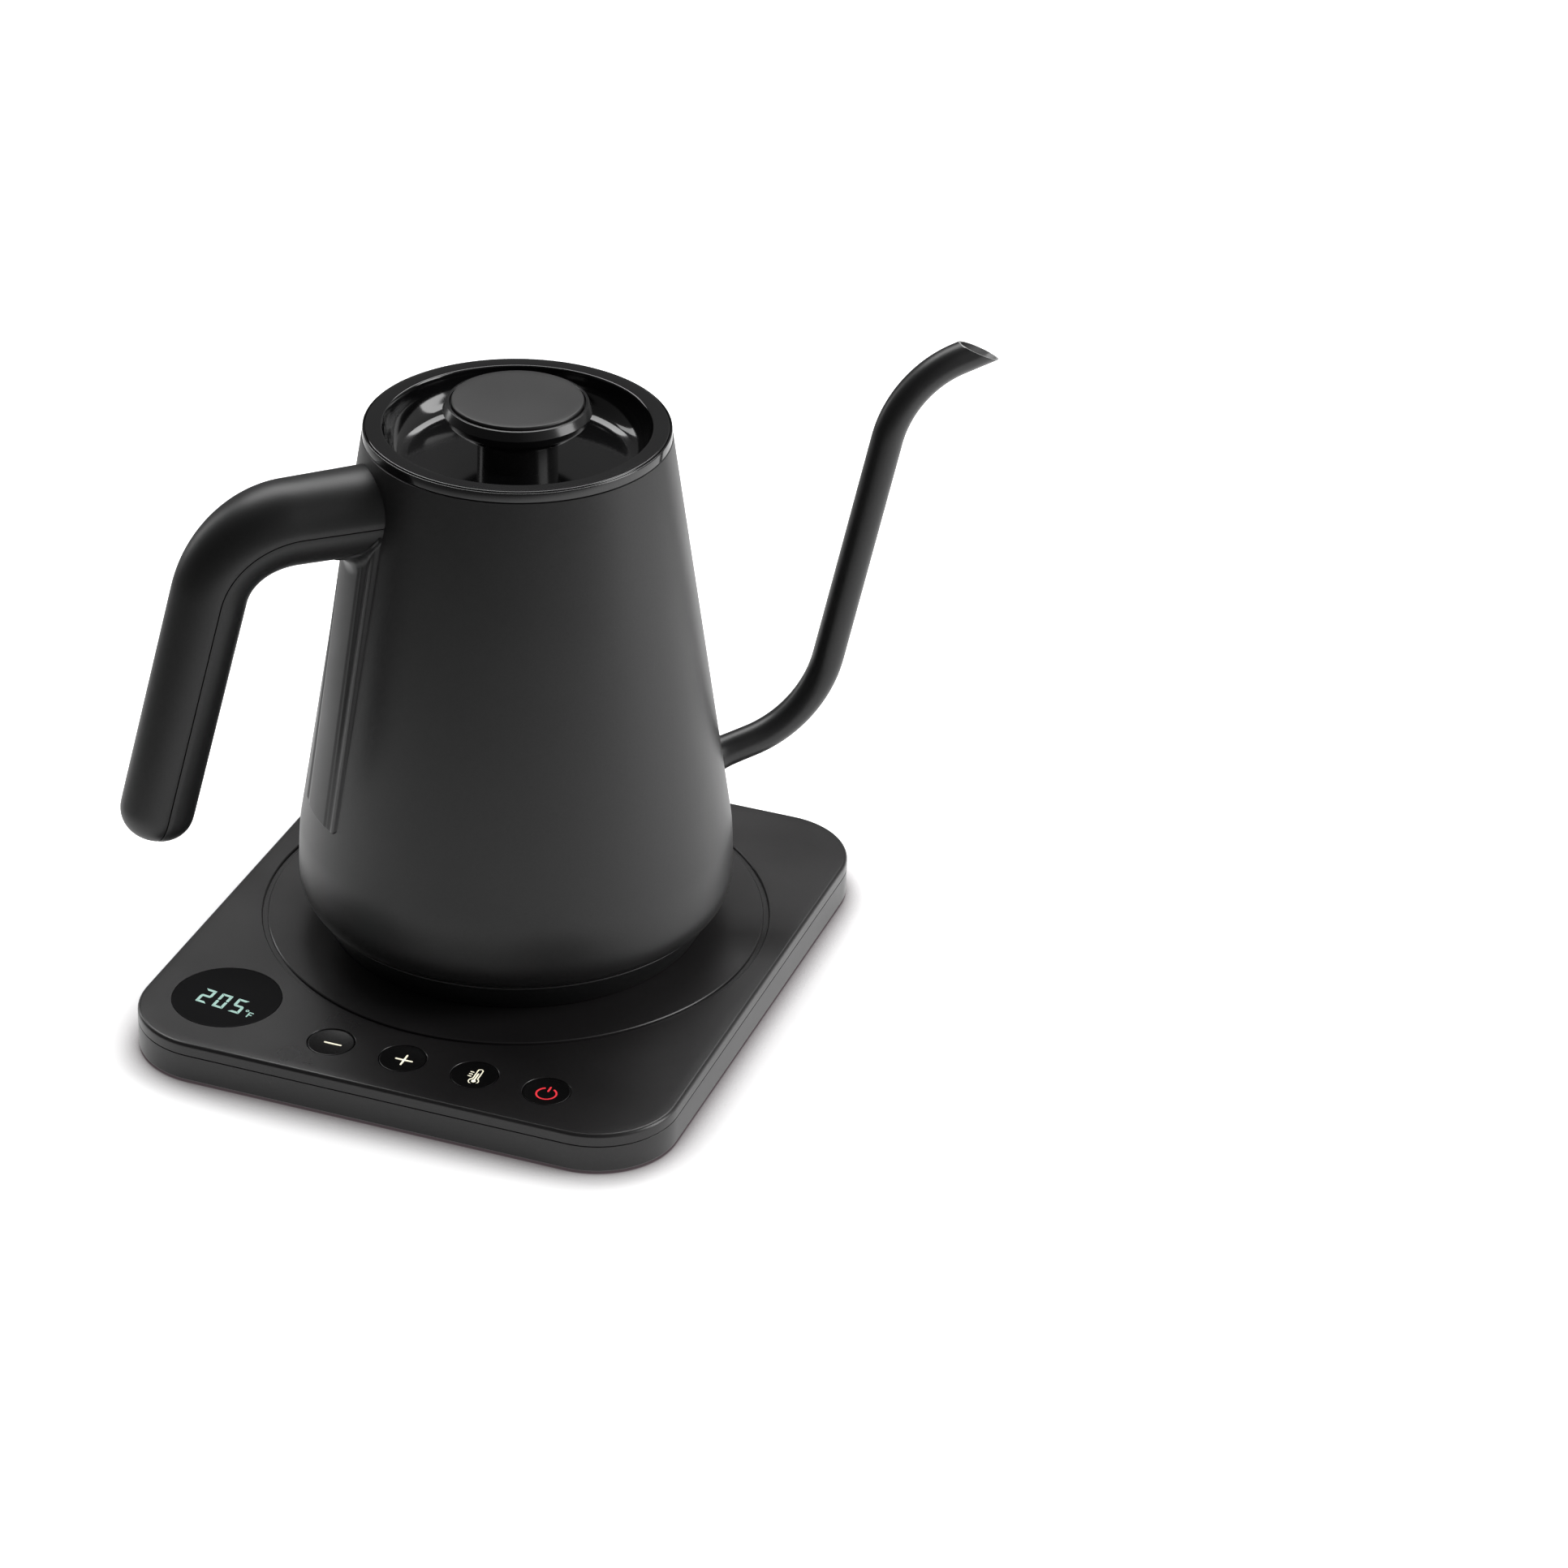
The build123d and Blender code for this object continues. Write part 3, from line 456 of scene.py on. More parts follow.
def carve(mesh, cutters):
    """Cuts closed meshes out of a closed mesh and returns the result."""
    bmesh.ops.recalc_face_normals(mesh, faces=mesh.faces)
    data = bpy.data.meshes.new("carved")
    mesh.to_mesh(data)
    mesh.free()
    block = bpy.data.objects.new("carved", data)
    bpy.context.scene.collection.objects.link(block)
    tools = []
    for cutter in cutters:
        bmesh.ops.recalc_face_normals(cutter, faces=cutter.faces)
        tool_data = bpy.data.meshes.new("tool")
        cutter.to_mesh(tool_data)
        cutter.free()
        tool = bpy.data.objects.new("tool", tool_data)
        bpy.context.scene.collection.objects.link(tool)
        tools.append(tool)
        modifier = block.modifiers.new("cut", "BOOLEAN")
        modifier.object = tool
        modifier.solver = "EXACT"
        modifier.operation = "DIFFERENCE"
    bpy.context.view_layer.update()
    view = bpy.context.evaluated_depsgraph_get()
    result = bmesh.new()
    result.from_mesh(block.evaluated_get(view).to_mesh())
    for thing in tools + [block]:
        data = thing.data
        bpy.data.objects.remove(thing)
        bpy.data.meshes.remove(data)
    return result


def hole_cutter(place, radius, low, lip=0.15):
    """Round cutter through the plate with a small chamfer at the top edge."""
    line = [(0, low), (radius, low), (radius, -lip), (radius + lip + 1, 1), (0, 1)]
    return turned(line, place, 128)


# ---------------------------------------------------------------- base
DISPLAY = spot_on_base("display_lens")
DISPLAY_RADIUS = (node_box("display_lens")[1][0] - node_box("display_lens")[0][0]) / 2
BUTTON_RADIUS = 7.0
GROOVE_RADIUS = 76.9
GROOVE_HALF = 0.85
GROOVE_DEPTH = 0.9
GROOVE_LIP = 0.25            # chamfer at the groove's edges
BOSS_RADIUS = 18.0
EDGE_ROUND = 1.2
WINDOW_GAP = 0.08            # between the window and its seat
WINDOW_DEPTH = 1.4
WINDOW_SHELF = 1.7           # width of the shelf that the window lies on
COVER_WALL = 2.2
FOOT_RADIUS = 7.0
FOOT_RECESS = 0.6


def groove_cutter(place):
    """Cutter for the ring groove round the kettle, chamfered at its edges."""
    low = GROOVE_RADIUS - GROOVE_HALF
    high = GROOVE_RADIUS + GROOVE_HALF
    inner = [(low - GROOVE_LIP - 0.5, 0.5), (low - GROOVE_LIP, 0), (low, -GROOVE_LIP),
             (low + 0.1, -GROOVE_DEPTH)]
    outer = [(high - 0.1, -GROOVE_DEPTH), (high, -GROOVE_LIP), (high + GROOVE_LIP, 0),
             (high + GROOVE_LIP + 0.5, 0.5)]
    return turned(inner + outer, place, 256)


def window_cutter(low):
    """Cutter for the window's seat, its shelf and the opening below."""
    seat = DISPLAY_RADIUS + WINDOW_GAP
    shelf = seat - WINDOW_SHELF
    line = [(0, low), (shelf, low), (shelf, -WINDOW_DEPTH), (seat, -WINDOW_DEPTH),
            (seat, -0.08), (seat + 0.5, 0.42), (0, 0.42)]
    return turned(line, DISPLAY, 160)


def upper_cover():
    """Top half of the base with its groove, window seat and button holes."""
    top_to_seam = SEAM_Z - PLATE_Z
    line = rounded([(COVER_WALL, PLATE_Z - COVER_WALL), (COVER_WALL, SEAM_Z), (0.4, SEAM_Z, 0.1),
                    (0.3, SEAM_Z + 0.12, 0.05), (0, SEAM_Z + 0.22, 0.12), (0, PLATE_Z, EDGE_ROUND),
                    (4.0, PLATE_Z)], 10)
    axis = Matrix.Translation((AXIS_X, AXIS_Y, PLATE_Z))
    cutters = [groove_cutter(axis), hole_cutter(axis, BOSS_RADIUS + 0.3, top_to_seam)]
    cutters.append(window_cutter(top_to_seam))
    for name in BUTTON_NAMES:
        place = spot_on_base("button_" + name)
        cutters.append(hole_cutter(place, BUTTON_RADIUS + 0.2, top_to_seam, 0.12))
    mesh = carve(slab(line), cutters)
    keep(mesh, "upper_cover", "base", "base_plastic", ["base_top_cover"], crease=28)


def lower_cover():
    """Bottom half of the base: a tray with a rounded foot edge."""
    inside = BOTTOM_Z + 1.8
    line = rounded([(6.0, BOTTOM_Z), (0, BOTTOM_Z, 0.6), (0, SEAM_Z - 0.1, 0.12), (0.3, SEAM_Z, 0.08),
                    (COVER_WALL, SEAM_Z), (COVER_WALL, inside), (6.0, inside)], 10)
    low, high = node_box("feet")
    spots = [((low[0] + high[0]) / 2, (low[1] + high[1]) / 2)]
    for x in (low[0] + FOOT_RADIUS, high[0] - FOOT_RADIUS):
        for y in (low[1] + FOOT_RADIUS, high[1] - FOOT_RADIUS):
            spots.append((x, y))
    recess = [(0, -2), (FOOT_RADIUS, -2), (FOOT_RADIUS, FOOT_RECESS), (0, FOOT_RECESS)]
    cutters = [turned(recess, Matrix.Translation((x, y, BOTTOM_Z)), 96) for x, y in spots]
    mesh = carve(slab(line), cutters)
    keep(mesh, "lower_cover", "base", "base_plastic", ["base_bottom_cover"], crease=28)


def window_glass():
    """Round dark window, level with the plate."""
    low = 0.02 - WINDOW_DEPTH
    line = rounded([(0, low), (DISPLAY_RADIUS, low), (DISPLAY_RADIUS, 0, 0.12),
                    (DISPLAY_RADIUS - 1, 0), (0, 0)])
    keep(turned(line, DISPLAY, 160), "window_glass", "base", "display_window", ["display_lens"])


def plate_of(mesh, outline, place, levels):
    """Flat plate between two levels from a closed list of (x, y) points."""
    low, high = levels
    bottom = [mesh.verts.new(place @ Vector((x, y, low)) * MM) for x, y in outline]
    top = [mesh.verts.new(place @ Vector((x, y, high)) * MM) for x, y in outline]
    mesh.faces.new(bottom[::-1])
    mesh.faces.new(top)
    for k in range(len(outline)):
        n = (k + 1) % len(outline)
        mesh.faces.new([bottom[k], bottom[n], top[n], top[k]])


def bar(mesh, place, levels, a, b, width):
    """Straight stroke between two points with round ends."""
    start = Vector(a)
    end = Vector(b)
    along = (end - start).normalized()
    side = Vector((-along.y, along.x))
    half = width / 2
    outline = []
    for centre, turn in ((start, math.pi / 2), (end, -math.pi / 2)):
        for k in range(9):
            angle = turn + math.pi * k / 8
            outline.append(centre + along * half * math.cos(angle) + side * half * math.sin(angle))
    plate_of(mesh, outline, place, levels)


def ring_stroke(mesh, place, levels, centre, radius, width, start=0, end=360):
    """Round stroke from one angle to another, in degrees."""
    steps = max(12, int((end - start) / 6))
    outer = []
    inner = []
    for k in range(steps + 1):
        angle = math.radians(start + (end - start) * k / steps)
        direction = Vector((math.cos(angle), math.sin(angle)))
        outer.append(Vector(centre) + direction * (radius + width / 2))
        inner.append(Vector(centre) + direction * (radius - width / 2))
    for k in range(steps):
        plate_of(mesh, [inner[k], outer[k], outer[k + 1], inner[k + 1]], place, levels)


DIGIT_HEIGHT = 7.4
DIGIT_WIDTH = 3.7
DIGIT_PITCH = 5.66
DIGIT_STROKE = 0.92
DIGIT_GAP = 0.09
DIGIT_LEAN = 0.05
DIGIT_TILT = -0.13           # the row drops a little towards the right
DIGIT_START = (-8.0, -5.2)
DIGIT_LEVELS = (0.0, 0.05)
UNIT_CORNER = (9.85, -7.5)   # foot of the F
UNIT_STROKE = 0.40


def segment_outlines():
    """Corners of the seven segments of one digit, mitred where they meet."""
    w, h, t, g = DIGIT_WIDTH, DIGIT_HEIGHT, DIGIT_STROKE, DIGIT_GAP
    middle = h / 2
    top = [(g, h), (w - g, h), (w - t - g, h - t), (t + g, h - t)]
    upper_left = [(0, h - g), (t, h - t - g), (t, middle + t / 2), (t / 2, middle + g),
                  (0, middle + g + t / 4)]
    bar_middle = [(g, middle), (t / 2 + g, middle + t / 2), (w - t / 2 - g, middle + t / 2),
                  (w - g, middle), (w - t / 2 - g, middle - t / 2), (t / 2 + g, middle - t / 2)]

    def mirrored(points):
        return [(w - x, y) for x, y in points]

    def flipped(points):
        return [(x, h - y) for x, y in points]

    return {
        "a": top, "f": upper_left, "g": bar_middle, "b": mirrored(upper_left), "d": flipped(top),
        "e": flipped(upper_left), "c": flipped(mirrored(upper_left)),
    }


def digits():
    """Three lit seven-segment digits with a small degree sign and F."""
    mesh = bmesh.new()
    outlines = segment_outlines()
    for i, lit in enumerate(("abged", "abcdef", "afgcd")):
        for name in lit:
            leaned = []
            for x, y in outlines[name]:
                along = x + i * DIGIT_PITCH
                leaned.append((DIGIT_START[0] + along + DIGIT_LEAN * y,
                               DIGIT_START[1] + y + DIGIT_TILT * along))
            plate_of(mesh, leaned, DISPLAY, DIGIT_LEVELS)
    corner = Vector(UNIT_CORNER)
    letter = [((0, 0), (0.05, 2.4)), ((0.05, 2.4), (1.25, 2.2)), ((0, 1.2), (1.05, 1.05))]
    for a, b in letter:
        bar(mesh, DISPLAY, DIGIT_LEVELS, corner + Vector(a), corner + Vector(b), UNIT_STROKE)
    ring_stroke(mesh, DISPLAY, DIGIT_LEVELS, corner + Vector((-1.0, 2.95)), 0.42, 0.26)
    keep(mesh, "digits", "base", "digit_light", ["display_digits"])


CAP_TOP = -0.1               # edge of a cap below the plate
CAP_DISH = 0.42
CAP_FLANGE = 8.0
CAP_STEM = 2.2
PRINT = 0.06                 # how far the lit print stands above the dish
SIGN_LEVELS = (CAP_TOP - CAP_DISH - 0.05, CAP_TOP - CAP_DISH * 0.78 + PRINT)
SIGN_ARM = 2.55
SIGN_LINE = 0.52
SIGN_THIN = 0.30             # lines of the thermometer


def buttons():
    """Four dished caps, each with its flange and stem hidden below."""
    line = [(0, -3.8), (CAP_STEM, -3.8), (CAP_STEM, -3.1), (CAP_FLANGE, -3.1), (CAP_FLANGE, -2.25),
            (BUTTON_RADIUS, -2.25), (BUTTON_RADIUS, -0.3), (BUTTON_RADIUS - 0.06, -0.16),
            (BUTTON_RADIUS - 0.2, CAP_TOP)]
    for k in range(1, 25):
        part = 1 - k / 24
        line.append(((BUTTON_RADIUS - 0.25) * part, CAP_TOP - CAP_DISH * (1 - part**2)))
    for name in BUTTON_NAMES:
        node = "button_" + name
        cap = turned(line, spot_on_base(node), 128)
        keep(cap, "cap_" + name, name + "_button", "button_plastic", [node])


def sign_place(name, x, y):
    """Middle of a cap's sign, a little off the cap's own middle."""
    return spot_on_base("button_" + name) @ Matrix.Translation((x, y, 0))


def keep_sign(mesh, name, look="symbol_light"):
    keep(mesh, "sign_" + name, name + "_button", look)


def sign_minus():
    mesh = bmesh.new()
    place = sign_place("minus", 0.6, -0.15)
    bar(mesh, place, SIGN_LEVELS, (-SIGN_ARM, 0), (SIGN_ARM, 0), SIGN_LINE)
    keep_sign(mesh, "minus")


def sign_plus():
    mesh = bmesh.new()
    place = sign_place("plus", 0.5, -0.15)
    bar(mesh, place, SIGN_LEVELS, (-SIGN_ARM, 0), (SIGN_ARM, 0), SIGN_LINE)
    bar(mesh, place, SIGN_LEVELS, (0, SIGN_ARM), (0, -SIGN_ARM), SIGN_LINE)
    keep_sign(mesh, "plus")


def sign_temperature():
    """Thermometer: an open bulb with its tube, the column inside and three marks."""
    mesh = bmesh.new()
    place = sign_place("temperature", 0.7, -0.2)
    bulb = (0.1, -2.5)
    neck = 0.75
    top = 3.1
    ring_stroke(mesh, place, SIGN_LEVELS, bulb, 1.5, SIGN_THIN, 122, 418)
    for side in (-neck, neck):
        bar(mesh, place, SIGN_LEVELS, (bulb[0] + side, bulb[1] + 1.35), (side, top), SIGN_THIN)
    ring_stroke(mesh, place, SIGN_LEVELS, (0, top), neck, SIGN_THIN, 0, 180)
    bar(mesh, place, SIGN_LEVELS, bulb, (0, top - 1.6), 0.42)
    ring_stroke(mesh, place, SIGN_LEVELS, bulb, 0.42, 0.5)
    for y in (-0.3, 0.8, 1.9):
        bar(mesh, place, SIGN_LEVELS, (-2.5, y), (-1.6, y), SIGN_THIN)
    keep_sign(mesh, "temperature")


def sign_power():
    mesh = bmesh.new()
    place = sign_place("power", 0.2, -0.7)
    ring_stroke(mesh, place, SIGN_LEVELS, (0, 0), 2.95, SIGN_LINE, 116, 424)
    bar(mesh, place, SIGN_LEVELS, (0, 1.4), (0, 3.5), SIGN_LINE)
    keep_sign(mesh, "power", "power_light")


# ---------------------------------------------------------------- kettle body
SHELL_WALL = 1.0
BELLY = [(63.9, 11.0), (65.9, 15.5), (66.1, 22.5), (65.3, 34.5)]
SHELL_TOP = (45.45, 161.9)
TAPER_STEPS = 32


def body_radius(z):
    """Outside radius of the body's straight taper at a height."""
    low_r, low_z = BELLY[-1]
    return low_r + (z - low_z) * (SHELL_TOP[0] - low_r) / (SHELL_TOP[1] - low_z)


def shell_side(offset, low_edge):
    """Body line from the lower edge to the top, moved out by an offset."""
    taper = (SHELL_TOP[0] - BELLY[-1][0], SHELL_TOP[1] - BELLY[-1][1])
    belly = [(r + offset, z) for r, z in BELLY]
    belly[0] = (belly[0][0], belly[0][1] + low_edge)
    line = curve_through(belly, (1.0, 0.9), taper, 10)
    for k in range(1, TAPER_STEPS + 1):
        part = k / TAPER_STEPS
        line.append(Vector((belly[-1][0] + taper[0] * part, belly[-1][1] + taper[1] * part)))
    return line


def body_skin():
    """The coated steel wall, from the foot ring to the rim."""
    outside = shell_side(0, 0.25)
    inside = shell_side(-SHELL_WALL, 0.0)
    edge = [Vector((BELLY[0][0] - 0.3, BELLY[0][1]))]
    line = outside + [outside[-1] + Vector((-0.2, 0.12))] + inside[::-1] + edge
    keep(turned(line), "body_skin", "kettle", "body_coat", ["body_shell"], crease=40)


def foot_ring():
    """Dark tapered ring under the body, closed below."""
    line = rounded([(21.4, 1.2), (50.0, 1.2, 0.2), (50.2, 0, 0.2), (57.2, 0, 0.9), (62.9, 10.1, 0.3),
                    (62.6, 10.75, 0.1), (60.4, 10.75), (55.6, 3.2), (21.4, 3.2)])
    keep(turned(line), "foot_ring", "kettle", "bottom_plastic", ["bottom_cover"])


def rim_ring():
    """Gloss ring round the mouth, with the step that the lid rests on."""
    line = rounded([(44.62, 163.6), (44.62, 164.95, 0.15), (45.1, 164.95, 0.3), (45.3, 162.2, 0.2),
                    (44.3, 162.2), (44.2, 158.4), (42.9, 158.4), (42.9, 150.5), (41.2, 150.5, 0.3),
                    (41.2, 163.6, 0.3)])
    keep(turned(line), "rim_ring", "kettle", "gloss_black", ["rim_collar"])


def lid_top():
    """Dished lid: flat outer ring, small inner lip, curved wall and flat floor."""
    wall = curve_through([(39.3, 164.3), (38.3, 159.2), (35.9, 155.3), (32.0, 153.9)],
                         (-0.06, -1), (-1, 0), 8)
    under = curve_through([(32.8, 152.1), (37.6, 154.4), (40.6, 158.6), (41.0, 161.7)],
                          (1, 0), (0.05, 1), 6)
    ring = rounded([(41.0, 161.7), (41.0, 163.7, 0.2), (44.4, 163.7, 0.25), (44.4, 165.2, 0.45),
                    (41.0, 165.2), (39.55, 165.2, 0.5), (39.3, 164.3)])
    line = [Vector((2.2, 152.1))] + under + ring[1:-1] + wall + [Vector((2.2, 153.9))]
    keep(turned(line), "lid_top", "lid", "gloss_black", ["lid_dish"])


def knob_head():
    """Lid knob: straight stem, bevelled flare and a raised edge round the top."""
    line = rounded([(0, 153.9), (11.8, 153.9), (11.8, 163.6, 3.0), (18.4, 165.0, 4.0),
                    (20.9, 167.4, 3.0), (21.9, 169.9, 0.3), (20.7, 172.4, 0.3), (19.85, 172.5, 0.15),
                    (19.75, 170.9), (0, 170.9)])
    keep(turned(line), "knob_head", "lid", "knob_plastic", ["knob"])


def knob_cap():
    """Flat disc let into the top of the knob."""
    line = rounded([(0, 170.95), (19.35, 170.95), (19.35, 173.3, 0.5), (17.0, 173.3), (0, 173.3)])
    keep(turned(line), "knob_cap", "lid", "knob_disc", ["knob_inset"])


# ---------------------------------------------------------------- bent tubes
def bent_path(corners, bends, step):
    """Points and directions along straight runs joined by round bends, in the XZ plane."""
    bent = [(x, z, radius) for (x, z), radius in zip(corners[1:-1], bends)]
    path = rounded([corners[0], *bent, corners[-1]], 28)
    dense = [path[0]]
    for a, b in zip(path, path[1:]):
        count = max(1, int((b - a).length / step))
        dense.extend(a + (b - a) * (k / count) for k in range(1, count + 1))
    tangents = []
    for i in range(len(dense)):
        before = dense[max(0, i - 1)]
        after = dense[min(len(dense) - 1, i + 1)]
        tangents.append((after - before).normalized())
    return dense, tangents


SPOUT_CORNERS = [(60.5, 40.4), (97.3, 49.2), (123.2, 158.9), (166.0, 170.3)]
SPOUT_BENDS = (34.0, 31.5)
SPOUT_RADIUS = 4.9
SPOUT_WALL = 0.55
SPOUT_CUT = (148.0, 165.5)
SPOUT_CUT_SLOPE = math.radians(27.2)
SPOUT_SIDES = 64
SPOUT_FLARE = 1.6            # how far the root's fillet reaches out and along


def spout():
    """Bent tube with a bare sloping cut at the tip and a soft flare at the body."""
    path, tangents = bent_path(SPOUT_CORNERS, SPOUT_BENDS, step=2.5)
    cut = Vector((SPOUT_CUT[0], 0, SPOUT_CUT[1]))
    normal = Vector((math.sin(SPOUT_CUT_SLOPE), 0, math.cos(SPOUT_CUT_SLOPE)))
    ahead = Vector((tangents[-1].x, 0, tangents[-1].y))
    mesh = bmesh.new()

    def section(spot, along, radius):
        ring = []
        for k in range(SPOUT_SIDES):
            angle = 2 * math.pi * k / SPOUT_SIDES
            across = radius * math.cos(angle)
            lift = radius * math.sin(angle)
            ring.append(Vector((spot.x - along.y * lift, across, spot.y + along.x * lift)))
        return ring

    def paint_new(known, slot):
        for face in set(mesh.faces) - known:
            face.material_index = slot

    surfaces = []
    for slot, inset in enumerate((0.0, SPOUT_WALL)):
        sections = []
        for spot, along in zip(path, tangents):
            away = spot.x - body_radius(spot.y)
            flare = 0.0 if inset else SPOUT_FLARE * math.exp(-max(0.0, away + 0.5) / SPOUT_FLARE)
            ring = section(spot, along, SPOUT_RADIUS - inset + flare)
            if max((point - cut).dot(normal) for point in ring) > 0:
                break
            sections.append(ring)
        last = sections[-1]
        gaps = [(cut - point).dot(normal) / ahead.dot(normal) for point in last]
        for part in (0.25, 0.5, 0.75, 1.0):
            sections.append([point + ahead * part * gap for point, gap in zip(last, gaps)])
        rings = [[mesh.verts.new(KETTLE @ point * MM) for point in ring] for ring in sections]
        known = set(mesh.faces)
        strip_of_rings(mesh, rings)
        paint_new(known, slot)
        surfaces.append(rings)
    outside, inside = surfaces
    for end in (0, -1):
        known = set(mesh.faces)
        strip_of_rings(mesh, [outside[end], inside[end]])
        paint_new(known, 2)
    piece = keep(mesh, "spout", "kettle", "spout_coat", ["spout_tube"], crease=50)
    # the tube's inside takes bore steel, darkened as painted shade; its cut ends take bare steel
    for look in ("bore_steel", "bare_steel"):
        piece.data.materials.append(LOOKS[look])


HANDLE_ROOT = (-38.0, 145.4)
HANDLE_CORNER = (-89.65, 145.4)
HANDLE_END = (-114.75, 49.6)
HANDLE_BEND = 25.5
HANDLE_SKIN = 2.4
ROOT_HALF = (14.3, 12.8)
NECK_HALF = (13.2, 12.5)
GRIP_START_HALF = (11.15, 11.0)
GRIP_END_HALF = (10.85, 10.75)
END_ROUND = 9.0
END_FLAT = ((1.86, 1.80), (0.775, 0.75))     # rings on the flat middle of the handle's end
SEAM_GAP = 0.34              # parting line between the handle's halves
SEAM_ROUND = 0.3
SEAM_STEP = 0.01             # keeps the halves' inner faces from meeting
NEARLY_SOLID = 3.12          # half width below which the shell has only a small core left open
CORE_SHARE = 0.3
HANDLE_STEPS = 40


def blend_pair(a, b, t):
    return (a[0] + (b[0] - a[0]) * t, a[1] + (b[1] - a[1]) * t)


def handle_stations():
    """Centre, direction and half sizes along the handle, closing over its round end."""
    path, tangents = bent_path([HANDLE_ROOT, HANDLE_CORNER, HANDLE_END], (HANDLE_BEND,), step=2.0)
    travelled = [0.0]
    for a, b in zip(path, path[1:]):
        travelled.append(travelled[-1] + (b - a).length)
    total = travelled[-1]
    neck = Vector(HANDLE_CORNER) - Vector(HANDLE_ROOT)
    grip = Vector(HANDLE_END) - Vector(HANDLE_CORNER)
    turn = neck.angle(grip)
    reach = HANDLE_BEND * math.tan(turn / 2)
    root_length = neck.length - reach
    bend_length = HANDLE_BEND * turn
    stations = []
    for spot, along, s in zip(path, tangents, travelled):
        if s < root_length:
            half = blend_pair(ROOT_HALF, NECK_HALF, s / root_length)
        elif s < root_length + bend_length:
            t = (s - root_length) / bend_length
            half = blend_pair(NECK_HALF, GRIP_START_HALF, t * t * (3 - 2 * t))
        else:
            t = (s - root_length - bend_length) / (total - root_length - bend_length)
            half = blend_pair(GRIP_START_HALF, GRIP_END_HALF, t)
        if s < total - END_ROUND:
            stations.append((spot, along, half))
    end = path[-1]
    along = tangents[-1]
    for k in range(13):
        angle = math.pi / 2 * k / 12
        spot = end - along * END_ROUND * (1 - math.sin(angle))
        shrink = END_ROUND * (1 - math.cos(angle))
        stations.append((spot, along, (GRIP_END_HALF[0] - shrink, GRIP_END_HALF[1] - shrink)))
    stations.extend((end, along, half) for half in END_FLAT)
    return stations


def handle_section(half):
    """Outline of half a shell as (across, lift), out over the skin and back along the inside."""
    angles = [math.pi * k / HANDLE_STEPS for k in range(HANDLE_STEPS + 1)]
    section = []
    for angle in angles:
        rise = half[1] * math.sin(angle)
        near = 1 - min(1.0, rise / SEAM_ROUND)
        pull = SEAM_ROUND / 2 * (1 - math.sqrt(1 - near**2))
        section.append(((half[0] - pull) * math.cos(angle), rise + SEAM_GAP / 2))
    core = 1 - HANDLE_SKIN / half[0] if half[0] > NEARLY_SOLID else CORE_SHARE
    for angle in reversed(angles):
        section.append((half[0] * core * math.cos(angle), half[1] * core * math.sin(angle) + SEAM_STEP))
    return section


def handle_half(name, side, stands_for):
    """One half shell of the handle: side is 1 for the outer one and -1 for the inner one."""
    mesh = bmesh.new()
    loops = []
    for spot, along, half in handle_stations():
        out = Vector((-along.y, along.x)) * side
        ring = []
        for across, lift in handle_section(half):
            x = spot.x + out.x * lift
            z = spot.y + out.y * lift
            if not loops:
                x = -math.sqrt((body_radius(z) - 0.4) ** 2 - across**2)
            ring.append(mesh.verts.new(KETTLE @ Vector((x, across, z)) * MM))
        loops.append(ring)
    strip_of_rings(mesh, loops)
    mesh.faces.new(loops[0])
    mesh.faces.new(loops[-1])
    keep(mesh, name, "kettle", "handle_plastic", stands_for, crease=50)


SPINE_HALF = 13.6
SPINE_LOW = 45.5
SPINE_CORNER = 3.0           # rounding of the strip's lower corners
SPINE_FOOT = 0.7             # rounding of its lower edge
SPINE_BACK = -0.4            # its back lies this far inside the body
RIB_HALF = 8.0
RIB_RISE = (0.60, 1.50)      # height at the lower end, and what it gains up to the handle
RIB_CROWN = 0.12
RIB_EDGE = 0.25              # drop of the rib's rounded edge
RIB_EDGE_WIDTH = 1.6
VALLEY_DEPTH = 0.32          # of the line between rib and flange
VALLEY_AT = 9.8
FLANGE_RISE = (0.42, 0.75)   # as for the rib
FLANGE_AT = 11.4
BORDER_AT = 12.3             # where the flange starts to fall to the body
BORDER_RISE = 0.02
SCOOP = (6.5, 1.2)           # fillet under the handle, in the middle and at the sides
SCOOP_AT = 4.0
SCOOP_WIDTH = 9.0
UNDER_HALF = (14.2, 12.75)   # half width and height of the handle over the strip
SPINE_COLUMNS = 120
SPINE_ROWS = 200
FOOT_ROWS = 0.1              # share of the rows in the strip's foot
FOOT_HEIGHT = 1.5


def ease(a, b, t):
    """Smooth change from a to b while t goes from 0 to 1."""
    t = min(1.0, max(0.0, t))
    return a + (b - a) * t * t * (3 - 2 * t)


def strip_low(across):
    """Height of the strip's lower edge, turned up at its corners."""
    side = abs(across) - (SPINE_HALF - SPINE_CORNER)
    if side <= 0:
        return SPINE_LOW
    return SPINE_LOW + SPINE_CORNER - math.sqrt(max(0.0, SPINE_CORNER**2 - side**2))


def handle_under(across):
    """Height of the handle's underside over the strip."""
    part = across / UNDER_HALF[0]
    return HANDLE_ROOT[1] - UNDER_HALF[1] * math.sqrt(max(0.0, 1 - part**2))


